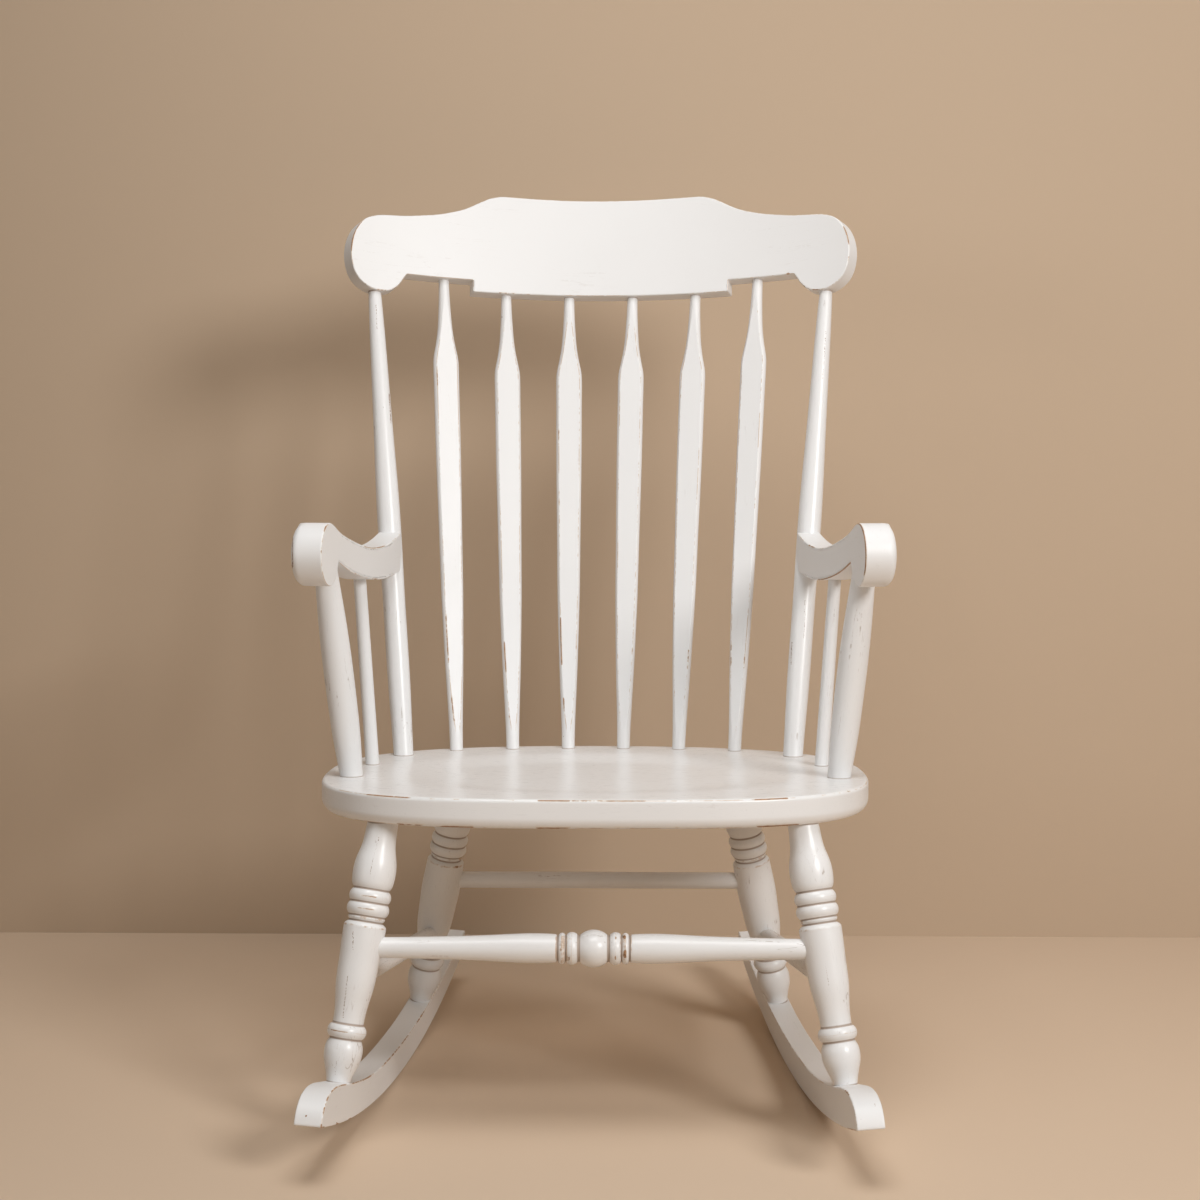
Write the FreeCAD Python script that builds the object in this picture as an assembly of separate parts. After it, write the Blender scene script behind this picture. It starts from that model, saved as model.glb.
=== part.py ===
import FreeCAD
import Part
import math
import os
from FreeCAD import Placement, Rotation, Vector

# Crest-back rocking chair with six arrow spindles and scrolled arms, turned and sawn from wood.
# Millimetres, +Z up. The sitter faces -Y. Left is -X and right is +X, seen from the front.
# The origin is on the floor, under the middle of the chair's width and length.

# General fits
overrun = 4.0
glue_line = 0.1
socket_end_gap = 1.0

# Seat: an oval plank, dished on top, that falls a little towards the back
seat_width = 614.0
seat_depth = 464.0
seat_thickness = 32.0
seat_centre_y = -19.5
seat_front_height = 368.0
seat_back_drop = 15.4
seat_top_round = 4.0
seat_bottom_round = 12.0
dish_depth = 6.0
dish_centre_y = -30.0
dish_rim_width_share = 0.80
dish_rim_depth_share = 0.74
dish_floor_width_share = 0.52
dish_floor_depth_share = 0.46
# Half of the oval, from the front centre round the right side: shares of half width and half depth
seat_outline_shares = (
    (0.0, -1.0), (0.25, -0.995), (0.48, -0.967), (0.67, -0.895), (0.83, -0.766), (0.94, -0.565),
    (0.99, -0.31), (1.0, 0.0), (0.97, 0.335), (0.89, 0.565), (0.755, 0.755), (0.58, 0.883),
    (0.36, 0.965), (0.17, 0.994), (0.0, 1.0),
)

# Back: how far it leans, how it bends and how its feet stand on the seat
back_lean_angle = 13.5
back_bend_radius = 611.0
back_height = 710.0
back_foot_y = 186.5

# Crest rail: a bent board, cut away to an ear at each end
crest_height = 128.5
crest_thickness = 24.0
crest_half_length = 334.0
# Outlines of the right half: shares of the half length and of the height over the low centre
crest_top_shares = (
    (0.0, 0.995), (0.24, 1.0), (0.36, 1.006), (0.405, 1.0), (0.44, 0.975), (0.48, 0.925), (0.52, 0.868),
    (0.56, 0.822), (0.60, 0.79), (0.65, 0.755), (0.71, 0.727), (0.77, 0.70), (0.83, 0.683),
)
crest_ear_shares = (
    (0.83, 0.683), (0.868, 0.672), (0.898, 0.656), (0.926, 0.628), (0.951, 0.583), (0.972, 0.515),
    (0.988, 0.425), (0.996, 0.33), (0.9975, 0.23), (0.992, 0.14), (0.98, 0.055), (0.962, -0.01),
    (0.938, -0.057), (0.912, -0.088), (0.884, -0.101), (0.856, -0.0985),
)
crest_ear_under_shares = (
    (0.856, -0.0985), (0.832, -0.083), (0.812, -0.05), (0.797, -0.012), (0.785, 0.035), (0.776, 0.07),
    (0.7685, 0.10),
)
crest_step_share = 0.503
crest_step_rise_share = 0.113
crest_ear_centre_share = 0.88

# Back posts: round, thickest at the arms. Their tops stand at a share of the crest's half length
post_foot_x = 236.2
post_foot_y = 113.5
post_top_share = 0.8842
post_foot_diameter = 24.0
post_arm_diameter = 28.5
post_top_diameter = 15.5
post_tenon_diameter = 13.0
post_tenon_length = 30.0
post_seat_tenon_diameter = 17.0
post_seat_tenon_length = 22.0
# Share of the post's length and share of its thickest diameter, up from the seat
post_swell_shares = ((0.13, 0.94), (0.33, 0.96), (0.45, 1.0), (0.52, 1.0), (0.66, 0.88), (0.80, 0.76), (0.92, 0.66))

# Arrow spindles. Their tops are spaced at a share of the crest's half length, and the row of their feet
# is bored a little to the left of the middle
spindle_count = 6
spindle_foot_spacing = 68.8
spindle_foot_shift = -4.0
spindle_top_share = 0.24491
spindle_foot_diameter = 16.2
spindle_top_diameter = 13.6
spindle_seat_depth = 22.0
spindle_crest_depth = 24.0
blade_width = 33.0
blade_thickness = 11.0
blade_section_sides = 16
# Share of the length, share of the blade's width, share of its thickness, squareness share of the edge
blade_shares = (
    (0.06, 0.527, 1.48, 0.0), (0.10, 0.588, 1.36, 0.15), (0.17, 0.688, 1.18, 0.4), (0.23, 0.755, 1.09, 0.7),
    (0.35, 0.858, 1.04, 1.0), (0.63, 0.973, 1.0, 1.0), (0.80, 1.0, 1.0, 1.0), (0.825, 0.982, 1.0, 1.0),
    (0.845, 0.858, 1.0, 0.9), (0.862, 0.74, 1.03, 0.7), (0.90, 0.564, 1.12, 0.35), (0.95, 0.448, 1.21, 0.1),
)

# Arms: sawn S-shaped planks with a rolled scroll in front, splayed outwards
arm_height = 581.0
arm_front_y = -176.5
arm_front_x = 305.9
arm_roll_diameter = 68.3
arm_front_thickness = 36.0
arm_rear_height = 598.0
arm_feather = 4.0
arm_roll_top_angle = 84.0
arm_roll_cusp_angle = -17.0
# Share of the arm's length, and share of the roll's diameter above the roll's underside
arm_top_shares = (
    (0.184, 0.878), (0.302, 0.711), (0.426, 0.586), (0.553, 0.489), (0.66, 0.454), (0.757, 0.457),
    (0.857, 0.503), (0.959, 0.60), (1.0, 0.65),
)
arm_under_shares = (
    (0.299, 0.19), (0.421, 0.056), (0.549, -0.047), (0.684, -0.11), (0.824, -0.117), (0.9256, -0.079),
    (1.0, -0.045),
)

# Arm posts in front, and the thin spindle behind each. Their tops stand outside the arm's middle
arm_stick_offset = 2.4
arm_post_foot_x = 273.0
arm_post_foot_y = -75.5
arm_post_arm_share = 0.232
arm_post_height_share = 0.26
arm_post_diameter = 32.8
arm_post_foot_diameter = 25.9
arm_post_top_diameter = 25.6
arm_post_tenon_diameter = 16.0
arm_post_tenon_length = 20.0
arm_post_swell_shares = (
    (0.05, 0.82), (0.12, 0.885), (0.20, 0.945), (0.30, 0.98), (0.40, 0.995), (0.50, 1.0), (0.60, 0.99),
    (0.70, 0.955), (0.80, 0.90), (0.90, 0.83),
)
arm_spindle_foot_x = 262.6
arm_spindle_foot_y = 25.2
arm_spindle_arm_share = 0.623
arm_spindle_foot_diameter = 16.0
arm_spindle_top_diameter = 14.8
arm_spindle_seat_depth = 22.0
arm_spindle_arm_depth = 20.0

# Rockers: sawn runners, set wider apart in front and leaning in a little at the top, like the legs
rocker_radius = 1290.0
rocker_length = 757.5
rocker_depth = 34.5
rocker_thickness = 28.5
rocker_spread = 479.0
rocker_low_y = 22.0
rocker_front_share = 0.5288
rocker_toe_angle = 5.9
rocker_lean_angle = 3.0
# Share of the length from the nose, and share of the depth above the running edge
rocker_top_shares = (
    (0.0, 0.0), (0.006, 0.34), (0.018, 0.68), (0.037, 0.95), (0.057, 1.095), (0.0883, 1.18),
    (0.12, 1.17), (0.17, 1.11), (0.21, 1.06), (0.27, 1.0), (0.43, 1.0), (0.58, 1.0), (0.70, 0.96),
    (0.85, 0.885), (1.0, 0.70),
)

# Legs: all four are one turning pattern, shorter above the barrel at the rear
leg_front_top_x = 223.2
leg_front_top_y = -190.0
leg_front_foot_y = -256.5
leg_rear_top_x = 167.5
leg_rear_top_y = 120.0
leg_rear_foot_y = 158.5
leg_ring_diameter = 46.0
leg_tenon_diameter = 25.0
leg_tenon_length = 22.0
leg_foot_tenon_diameter = 15.0
leg_foot_tenon_length = 20.0
leg_front_pattern_height = 114.0
leg_rear_pattern_height = 106.0
leg_foot_height = 98.0
# Below the seat: share of the pattern's height, share of the ring's diameter, belly share of the stretch
leg_upper_shares = (
    (0.0, 0.704, 0.0), (0.171, 0.746, 0.0), (0.263, 0.802, -0.006), (0.36, 0.924, 0.0), (0.553, 0.976, 0.039),
    (0.627, 0.874, 0.012), (0.645, 0.80, 0.0), (0.653, 0.845, 0.0), (0.768, 0.855, 0.12), (0.888, 0.852, 0.128),
    (0.893, 0.80, 0.0), (0.898, 0.83, 0.0), (0.925, 0.83, 0.03), (0.945, 0.757, 0.0), (1.0, 0.978, 0.07),
)
# Above the rocker, from the top down: share of the foot's height, and the same two shares as above
leg_lower_shares = (
    (1.0, 0.87, 0.02), (0.88, 0.793, 0.0), (0.70, 0.712, -0.008), (0.615, 0.705, 0.0), (0.462, 0.712, 0.19),
    (0.345, 0.875, 0.03), (0.24, 0.842, 0.015), (0.0, 0.53, 0.0),
)

# Stretchers: the distance of each joint down its leg from the seat, and their thickness
front_stretcher_drop = 135.0
rear_stretcher_drop = 130.0
side_stretcher_front_drop = 168.0
side_stretcher_rear_drop = 202.0
front_stretcher_diameter = 31.6
front_stretcher_ball_diameter = 39.4
rear_stretcher_diameter = 20.5
side_stretcher_diameter = 21.0
stretcher_tenon_diameter = 14.0
stretcher_tenon_depth = 18.0
plain_stretcher_end_share = 0.97
# Right half: share of the half span, share of the thickness, belly share of the stretch before it
front_stretcher_half_shares = (
    (0.063, 0.88, 0.0), (0.069, 0.90, 0.0), (0.117, 0.95, 0.14), (0.120, 0.86, 0.0), (0.123, 0.92, 0.0),
    (0.152, 0.90, 0.12), (0.156, 0.84, 0.0), (0.161, 0.90, 0.0), (0.185, 0.97, 0.015), (0.275, 0.99, 0.005),
    (0.40, 0.92, 0.0), (0.575, 0.81, 0.0), (1.0, 0.69, 0.0),
)

# Screws, driven from behind each back post into its arm
screw_diameter = 4.5
screw_head_diameter = 9.0
screw_length = 54.0
screw_head_depth = 3.0
screw_recess_depth = 3.5
screw_slot_width = 1.2
screw_slot_depth = 1.2

# Dowels that lock the posts in the crest and the feet in the rockers
crest_pin_diameter = 5.0
crest_pin_length = 19.0
crest_pin_depth = 14.0
rocker_pin_diameter = 6.0
rocker_pin_length = 24.0
rocker_pin_depth = 11.0

pieces = {}
upright = Vector(0, 0, 1)


def mirrored(shape):
    """The left twin of a right-hand piece."""
    return shape.mirror(Vector(0, 0, 0), Vector(1, 0, 0))


def curve(points):
    """One smooth edge through the points."""
    spline = Part.BSplineCurve()
    spline.interpolate(points)
    return spline.toShape()


def outline(points):
    """Straight edges through the points."""
    return [Part.LineSegment(a, b).toShape() for a, b in zip(points, points[1:])]


def face(edges):
    """A flat face inside a closed run of edges."""
    return Part.Face(Part.Wire(edges))


def along(start, end, distance):
    """The point at a distance from start towards end."""
    return start + (end - start).normalize() * distance


def rod(start, end, diameter, before, after):
    """A cylinder on the line through two points, from before the start to after the end."""
    way = (end - start).normalize()
    length = (end - start).Length + before + after
    return Part.makeCylinder(diameter / 2, length, start - way * before, way)


def turned(stations, start, end):
    """A turning between two points. Each station is a distance, a radius and the belly before it."""
    bottom = Vector(0, 0, stations[0][0])
    edges = []
    corner = Vector(stations[0][1], 0, stations[0][0])
    edges.append(Part.LineSegment(bottom, corner).toShape())
    for distance, radius, belly in stations[1:]:
        next_corner = Vector(radius, 0, distance)
        if belly:
            middle = (corner + next_corner) / 2 + Vector(belly, 0, 0)
            edges.append(Part.Arc(corner, middle, next_corner).toShape())
        else:
            edges.append(Part.LineSegment(corner, next_corner).toShape())
        corner = next_corner
    top = Vector(0, 0, corner.z)
    edges.append(Part.LineSegment(corner, top).toShape())
    edges.append(Part.LineSegment(top, bottom).toShape())
    solid = face(edges).revolve(Vector(0, 0, 0), upright, 360)
    solid = Part.makeSolid(solid) if solid.ShapeType != "Solid" else solid
    solid.Placement = Placement(start, Rotation(upright, end - start))
    return solid


def bored(carrier, start, end, diameter, depth):
    """The carrier with a blind socket whose mouth is at end, on the line from start to end."""
    way = (end - start).normalize()
    length = depth + socket_end_gap + overrun
    bore = Part.makeCylinder(diameter / 2 + glue_line, length, end - way * overrun, way)
    return carrier.cut(bore)


def seat_top_z(y):
    """Height of the seat's top plane over a place on the floor."""
    return seat_front_height - seat_back_drop * (y - seat_centre_y + seat_depth / 2) / seat_depth


seat_slope = math.degrees(math.asin(seat_back_drop / seat_depth))
seat_place = Placement(Vector(0, seat_centre_y, seat_top_z(seat_centre_y)), Rotation(Vector(1, 0, 0), -seat_slope))
seat_under_offset = seat_thickness / math.cos(math.radians(seat_slope))


def seat_top_point(x, y):
    """A point on the seat's top plane."""
    return Vector(x, y, seat_top_z(y))


def seat_under_point(x, y):
    """A point on the seat's underside."""
    return Vector(x, y, seat_top_z(y) - seat_under_offset)


def seat_oval(width, depth, centre_y, z):
    """The seat's oval at another size, as a closed wire in the seat's own plane."""
    right = [Vector(x * width / 2, centre_y + y * depth / 2, z) for x, y in seat_outline_shares]
    left = [Vector(-p.x, p.y, z) for p in reversed(right[1:-1])]
    spline = Part.BSplineCurve()
    spline.interpolate(right + left, PeriodicFlag=True)
    return Part.Wire(spline.toShape())


def seat_plank():
    """The plank with its rounded rim and its dish, before any hole is bored."""
    plank = Part.Face(seat_oval(seat_width, seat_depth, 0, -seat_thickness)).extrude(upright * seat_thickness)
    top_edges = [e for e in plank.Edges if abs(e.BoundBox.ZMin) < glue_line]
    plank = plank.makeFillet(seat_top_round, top_edges)
    low_edges = [e for e in plank.Edges if abs(e.BoundBox.ZMax + seat_thickness) < glue_line]
    plank = plank.makeFillet(seat_bottom_round, low_edges)
    dish_y = dish_centre_y - seat_centre_y
    rise = 1 + overrun / dish_depth
    wide_share = dish_floor_width_share + (dish_rim_width_share - dish_floor_width_share) * rise
    deep_share = dish_floor_depth_share + (dish_rim_depth_share - dish_floor_depth_share) * rise
    floor = seat_oval(seat_width * dish_floor_width_share, seat_depth * dish_floor_depth_share, dish_y, -dish_depth)
    rim = seat_oval(seat_width * wide_share, seat_depth * deep_share, dish_y, overrun)
    plank = plank.cut(Part.makeLoft([floor, rim], True, True))
    plank.Placement = seat_place
    return plank


# Back: the crest stands on this frame, whose Z runs up the lean and whose Y points backwards
crest_place = Placement(seat_top_point(0, back_foot_y), Rotation(Vector(1, 0, 0), -back_lean_angle))
crest_low = back_height - crest_height


def crest_height_at(share):
    """Height up the back for a share of the crest's height."""
    return crest_low + crest_height * share


def back_point(arc, height):
    """A point in the middle of the bent back, an arc length off centre and a height up the lean."""
    turn = arc / back_bend_radius
    reach = back_bend_radius * math.sin(turn)
    forward = back_bend_radius * (1 - math.cos(turn))
    return crest_place.multVec(Vector(reach, -forward, height))


def crest_flat(shares, side):
    """Outline points of the crest as seen square on, from its shares."""
    points = []
    for length_share, height_share in shares:
        turn = length_share * crest_half_length / back_bend_radius
        points.append(Vector(side * back_bend_radius * math.sin(turn), 0, crest_height_at(height_share)))
    return points


def crest_board():
    """The bent board: a slice of a drum, with the waste sawn off its edges and ears."""
    low = crest_height_at(crest_ear_shares[-1][1]) - overrun
    high = back_height + overrun
    sweep = 2 * math.degrees(crest_half_length / back_bend_radius) + 2 * math.degrees(overrun / back_bend_radius)
    axis = Vector(0, -back_bend_radius, low)
    outer = Part.makeCylinder(back_bend_radius + crest_thickness / 2, high - low, axis, upright, sweep)
    inner = Part.makeCylinder(back_bend_radius - crest_thickness / 2, high - low, axis, upright)
    board = outer.cut(inner)
    board.rotate(axis, upright, 90 - sweep / 2)

    reach = back_bend_radius
    through = Vector(0, 2 * reach, 0)
    start = Vector(0, -reach, 0)

    top_right = crest_flat(crest_top_shares, 1)
    top_left = crest_flat(crest_top_shares, -1)
    top_line = list(reversed(top_left))[:-1] + top_right
    left_end = top_line[0]
    right_end = top_line[-1]
    above = Vector(0, 0, high + overrun - right_end.z)
    right_side = crest_flat(crest_ear_shares[1:2], 1)[0]
    left_side = crest_flat(crest_ear_shares[1:2], -1)[0]
    corners = [right_end, right_side, right_side + above, left_side + above, left_side, left_end]
    edges = [curve(top_line)] + outline(corners)
    top_waste = face(edges)
    top_waste.translate(start)

    step_high = crest_height_at(crest_step_rise_share)
    step_low = crest_height_at(0)
    under_right = list(reversed(crest_flat(crest_ear_under_shares, 1)))
    step_x = crest_flat(((crest_step_share, 0),), 1)[0].x
    cusp = under_right[0]
    ear_foot = under_right[-1]
    below = Vector(0, 0, ear_foot.z - low + overrun)
    right_run = [Vector(step_x, 0, step_low), Vector(step_x, 0, step_high), cusp]
    left_run = [Vector(-p.x, 0, p.z) for p in reversed(right_run)]
    under_left = [Vector(-p.x, 0, p.z) for p in reversed(under_right)]
    edges = [curve(under_left)] + outline(left_run + right_run) + [curve(under_right)]
    left_foot = under_left[0]
    beside = Vector(crest_thickness, 0, 0)
    right_side = ear_foot + beside
    left_side = left_foot - beside
    edges += outline([ear_foot, right_side, right_side - below, left_side - below, left_side, left_foot])
    under_waste = face(edges)
    under_waste.translate(start)
    board = board.cut([top_waste.extrude(through), under_waste.extrude(through)])

    centre_arc = crest_ear_centre_share * crest_half_length
    ear = [Vector(share * crest_half_length - centre_arc, 0, crest_height_at(height)) for share, height in crest_ear_shares]
    outside = crest_half_length - centre_arc + 2 * overrun
    top_corner = Vector(ear[0].x, 0, high + overrun)
    low_corner = Vector(ear[-1].x, 0, low - overrun)
    corners = [ear[-1], low_corner, Vector(outside, 0, low_corner.z), Vector(outside, 0, top_corner.z), top_corner, ear[0]]
    ear_waste = face([curve(ear)] + outline(corners))
    ear_waste.translate(Vector(0, back_bend_radius - crest_thickness, 0))
    ear_waste = ear_waste.extrude(Vector(0, 2 * crest_thickness, 0))
    ear_turn = math.degrees(centre_arc / back_bend_radius)
    ear_waste.rotate(Vector(0, 0, 0), upright, -ear_turn)
    ear_waste.translate(Vector(0, -back_bend_radius, 0))
    board = board.cut([ear_waste, mirrored(ear_waste)])
    board.Placement = crest_place.multiply(board.Placement)
    return board


# Rocker outline, in the runner's own plane: Y along it from the lowest point, Z up
rocker_front = rocker_length * rocker_front_share


def running_edge_z(distance):
    """Height of the running edge at a distance from the lowest point."""
    return rocker_radius - math.sqrt(rocker_radius ** 2 - distance ** 2)


def rocker_place():
    """Where the right runner stands: toed out in front and leaning in, on its inner lower corner."""
    lift = rocker_thickness / 2 * math.sin(math.radians(rocker_lean_angle))
    turn = Rotation(upright, rocker_toe_angle).multiply(Rotation(Vector(0, 1, 0), -rocker_lean_angle))
    return Placement(Vector(rocker_spread / 2, rocker_low_y, lift), turn)


def rocker_point(y, depth_share):
    """A point in the middle of the right runner, above the running edge at a place on the floor."""
    distance = (y - rocker_low_y) / math.cos(math.radians(rocker_toe_angle))
    height = running_edge_z(distance) + rocker_depth * depth_share
    return rocker_place().multVec(Vector(0, distance, height))


def rocker_board():
    """The right runner before its sockets are bored."""
    top = []
    for share, depth in rocker_top_shares:
        distance = share * rocker_length - rocker_front
        top.append(Vector(0, distance, running_edge_z(distance) + depth * rocker_depth))
    nose = top[0]
    tail_top = top[-1]
    tail = Vector(0, tail_top.y, running_edge_z(tail_top.y))
    running_edge = Part.Arc(tail, Vector(0, 0, 0), nose).toShape()
    side = face([curve(top), Part.LineSegment(tail_top, tail).toShape(), running_edge])
    side.translate(Vector(-rocker_thickness / 2, 0, 0))
    board = side.extrude(Vector(rocker_thickness, 0, 0))
    board.Placement = rocker_place()
    return board


def top_depth_share(y):
    """Depth share of the runner's top edge at a place on the floor, between the drawn points."""
    distance = (y - rocker_low_y) / math.cos(math.radians(rocker_toe_angle))
    share = (distance + rocker_front) / rocker_length
    for (a, low), (b, high) in zip(rocker_top_shares, rocker_top_shares[1:]):
        if a <= share <= b:
            return low + (high - low) * (share - a) / (b - a)
    return 1


# Legs: the ends of the two right-hand axes
leg_front_top = seat_under_point(leg_front_top_x, leg_front_top_y)
leg_front_foot = rocker_point(leg_front_foot_y, top_depth_share(leg_front_foot_y))
leg_rear_top = seat_under_point(leg_rear_top_x, leg_rear_top_y)
leg_rear_foot = rocker_point(leg_rear_foot_y, top_depth_share(leg_rear_foot_y))


def leg_turning(top, foot, pattern_height, seat_blank, rocker_blank):
    """A right-hand leg, scribed to the seat above and the runner below, with a tenon at each end."""
    length = (foot - top).Length
    ring = leg_ring_diameter / 2
    stations = [(-overrun, ring * leg_upper_shares[0][1], 0)]
    for share, radius, belly in leg_upper_shares:
        stations.append((share * pattern_height, ring * radius, ring * belly))
    for share, radius, belly in leg_lower_shares:
        stations.append((length - share * leg_foot_height, ring * radius, ring * belly))
    stations.append((length + overrun, ring * leg_lower_shares[-1][1], 0))
    leg = turned(stations, top, foot).cut([seat_blank, rocker_blank])
    leg = max(leg.Solids, key=lambda solid: solid.Volume)
    seat_tenon = rod(top, along(top, foot, overrun), leg_tenon_diameter, leg_tenon_length, 0)
    foot_tenon = rod(along(foot, top, overrun), foot, leg_foot_tenon_diameter, 0, leg_foot_tenon_length)
    return leg.fuse([seat_tenon, foot_tenon]).removeSplitter()


def stretcher(stations, start, end, leg_blanks):
    """A turning whose shoulders are scribed to the two legs, with a tenon in each."""
    body = turned(stations, start, end).cut(leg_blanks)
    body = max(body.Solids, key=lambda solid: solid.Volume)
    way = (end - start).normalize()
    inset = leg_ring_diameter / 2 - stretcher_tenon_depth
    tenon = Part.makeCylinder(stretcher_tenon_diameter / 2, (end - start).Length - 2 * inset, start + way * inset, way)
    return body.fuse(tenon).removeSplitter()


def stretcher_bored(leg, start, end):
    """The leg with the socket of a stretcher that starts at start, on its axis, and goes to end."""
    way = (end - start).normalize()
    inset = leg_ring_diameter / 2 - stretcher_tenon_depth - socket_end_gap
    bore = Part.makeCylinder(stretcher_tenon_diameter / 2 + glue_line, leg_ring_diameter, start + way * inset, way)
    return leg.cut(bore)


def plain_stations(diameter, length):
    """A straight stretcher, a little thinner at its ends."""
    end_radius = diameter / 2 * plain_stretcher_end_share
    return [(0, end_radius, 0), (length / 2, diameter / 2, 0), (length, end_radius, 0)]


def front_stretcher_stations(length):
    """Both halves of the front stretcher, with a ball between two pairs of rings."""
    half = length / 2
    thick = front_stretcher_diameter / 2
    right = [(half * share, thick * radius, thick * belly) for share, radius, belly in front_stretcher_half_shares]
    left = []
    for (distance, radius, belly), (outer, outer_radius, outer_belly) in zip(right, right[1:]):
        left.append((half - distance, radius, outer_belly))
    stations = [(half - right[-1][0], right[-1][1], 0)] + list(reversed(left))
    ball_belly = front_stretcher_ball_diameter / 2 - right[0][1]
    stations.append((half + right[0][0], right[0][1], ball_belly))
    stations += [(half + distance, radius, belly) for distance, radius, belly in right[1:]]
    return stations


# Back posts: how far off centre their tops meet the crest
post_top_arc = post_top_share * crest_half_length


def post_axis():
    """Foot and top of the right back post's axis."""
    return seat_top_point(post_foot_x, post_foot_y), back_point(post_top_arc, crest_height_at(crest_ear_shares[-1][1]))


# Arms: the right arm's own frame has Y along the arm from the roll's front and Z up
post_foot, post_top = post_axis()
post_rise = (arm_rear_height - post_foot.z) / (post_top.z - post_foot.z)
post_at_arm = post_foot + (post_top - post_foot) * post_rise
arm_front = Vector(arm_front_x, arm_front_y, 0)
arm_run = Vector(post_at_arm.x - arm_front.x, post_at_arm.y - arm_front.y, 0)
arm_length = arm_run.Length
arm_turn = math.degrees(math.atan2(-arm_run.x, arm_run.y))
arm_place = Placement(Vector(arm_front_x, arm_front_y, arm_height), Rotation(upright, arm_turn))


def arm_point(share, height_share, outward):
    """A point in the right arm, at a distance outside the middle of its thickness."""
    return arm_place.multVec(Vector(outward, share * arm_length, height_share * arm_roll_diameter))


def arm_plank():
    """The right arm: sawn to its side outline, then tapered in width towards the post."""
    radius = arm_roll_diameter / 2
    centre = Vector(0, radius, radius)

    def on_roll(angle):
        turn = math.radians(angle)
        return centre + Vector(0, math.cos(turn), math.sin(turn)) * radius

    roll_top = on_roll(arm_roll_top_angle)
    cusp = on_roll(arm_roll_cusp_angle)
    roll_front = on_roll((arm_roll_top_angle + arm_roll_cusp_angle + 360) / 2)
    top = [Vector(0, share * arm_length, height * arm_roll_diameter) for share, height in arm_top_shares]
    under = [Vector(0, share * arm_length, height * arm_roll_diameter) for share, height in arm_under_shares]
    edges = [
        curve([roll_top] + top),
        Part.LineSegment(top[-1], under[-1]).toShape(),
        curve([cusp] + under),
        Part.Arc(cusp, roll_front, roll_top).toShape(),
    ]
    side = face(edges)
    side.translate(Vector(-arm_front_thickness, 0, 0))
    plank = side.extrude(Vector(2 * arm_front_thickness, 0, 0))
    front = arm_front_thickness / 2
    rear = post_arm_diameter / 2
    rear_y = arm_length - arm_feather
    low = -arm_roll_diameter
    corners = [Vector(-front, -overrun, low), Vector(front, -overrun, low), Vector(rear, rear_y, low), Vector(-rear, rear_y, low)]
    plan = face(outline(corners + corners[:1])).extrude(upright * 3 * arm_roll_diameter)
    plank = plank.common(plan)
    plank.Placement = arm_place
    return plank


def post_turning():
    """The right back post, scribed to the seat and the crest, with a tenon at each end."""
    length = (post_top - post_foot).Length
    stations = [(-overrun, post_foot_diameter / 2, 0), (0, post_foot_diameter / 2, 0)]
    for share, width in post_swell_shares:
        stations.append((share * length, width * post_arm_diameter / 2, 0))
    stations.append((length + overrun, post_top_diameter / 2, 0))
    return turned(stations, post_foot, post_top)


def swelled(start, end, foot_diameter, top_diameter, full_diameter, shares):
    """A barrel-shaped stick that runs a little into what carries it at both ends."""
    length = (end - start).Length
    stations = [(-overrun, foot_diameter / 2, 0), (0, foot_diameter / 2, 0)]
    for share, width in shares:
        stations.append((share * length, width * full_diameter / 2, 0))
    stations.append((length, top_diameter / 2, 0))
    stations.append((length + 2 * overrun, top_diameter / 2, 0))
    return turned(stations, start, end)


def spindle_section(z, width, thickness, squareness_share):
    """A closed curve that goes from a circle to a flat blade with rounded edges as it gets squarer."""
    power = 2 / (2 + 2 * squareness_share)
    points = []
    for step in range(blade_section_sides):
        turn = 2 * math.pi * step / blade_section_sides
        across = math.copysign(abs(math.cos(turn)) ** power, math.cos(turn))
        deep = math.copysign(abs(math.sin(turn)) ** power, math.sin(turn))
        points.append(Vector(across * width / 2, deep * thickness / 2, z))
    spline = Part.BSplineCurve()
    spline.interpolate(points, PeriodicFlag=True)
    return Part.Wire(spline.toShape())


def spindle_axis(index):
    """Foot and top of one arrow spindle's axis, and the arc length of its top."""
    place = index - (spindle_count - 1) / 2
    foot_x = place * spindle_foot_spacing + spindle_foot_shift
    foot_y = back_foot_y - back_bend_radius * (1 - math.cos(foot_x / back_bend_radius))
    top_arc = place * spindle_top_share * crest_half_length
    stepped = abs(top_arc) > crest_step_share * crest_half_length
    top_share = crest_step_rise_share if stepped else 0
    return seat_top_point(foot_x, foot_y), back_point(top_arc, crest_height_at(top_share)), top_arc


def arrow_spindle(index):
    """A spindle that is round in the seat and the crest, and shaved to a flat arrow blade between."""
    foot, top, top_arc = spindle_axis(index)
    length = (top - foot).Length
    foot_size = (spindle_foot_diameter, spindle_foot_diameter, 0)
    top_size = (spindle_top_diameter, spindle_top_diameter, 0)
    sections = [spindle_section(-spindle_seat_depth, *foot_size), spindle_section(0, *foot_size)]
    for share, width, thickness, squareness in blade_shares:
        sections.append(spindle_section(share * length, width * blade_width, thickness * blade_thickness, squareness))
    sections += [spindle_section(length, *top_size), spindle_section(length + spindle_crest_depth, *top_size)]
    stick = Part.makeLoft(sections, True, True)
    way = (top - foot).normalize()
    turn = top_arc / back_bend_radius
    wide = crest_place.Rotation.multVec(Vector(math.cos(turn), -math.sin(turn), 0))
    stick.Placement = Placement(foot, Rotation(wide, way.cross(wide), way, "ZXY"))
    return stick


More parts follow.
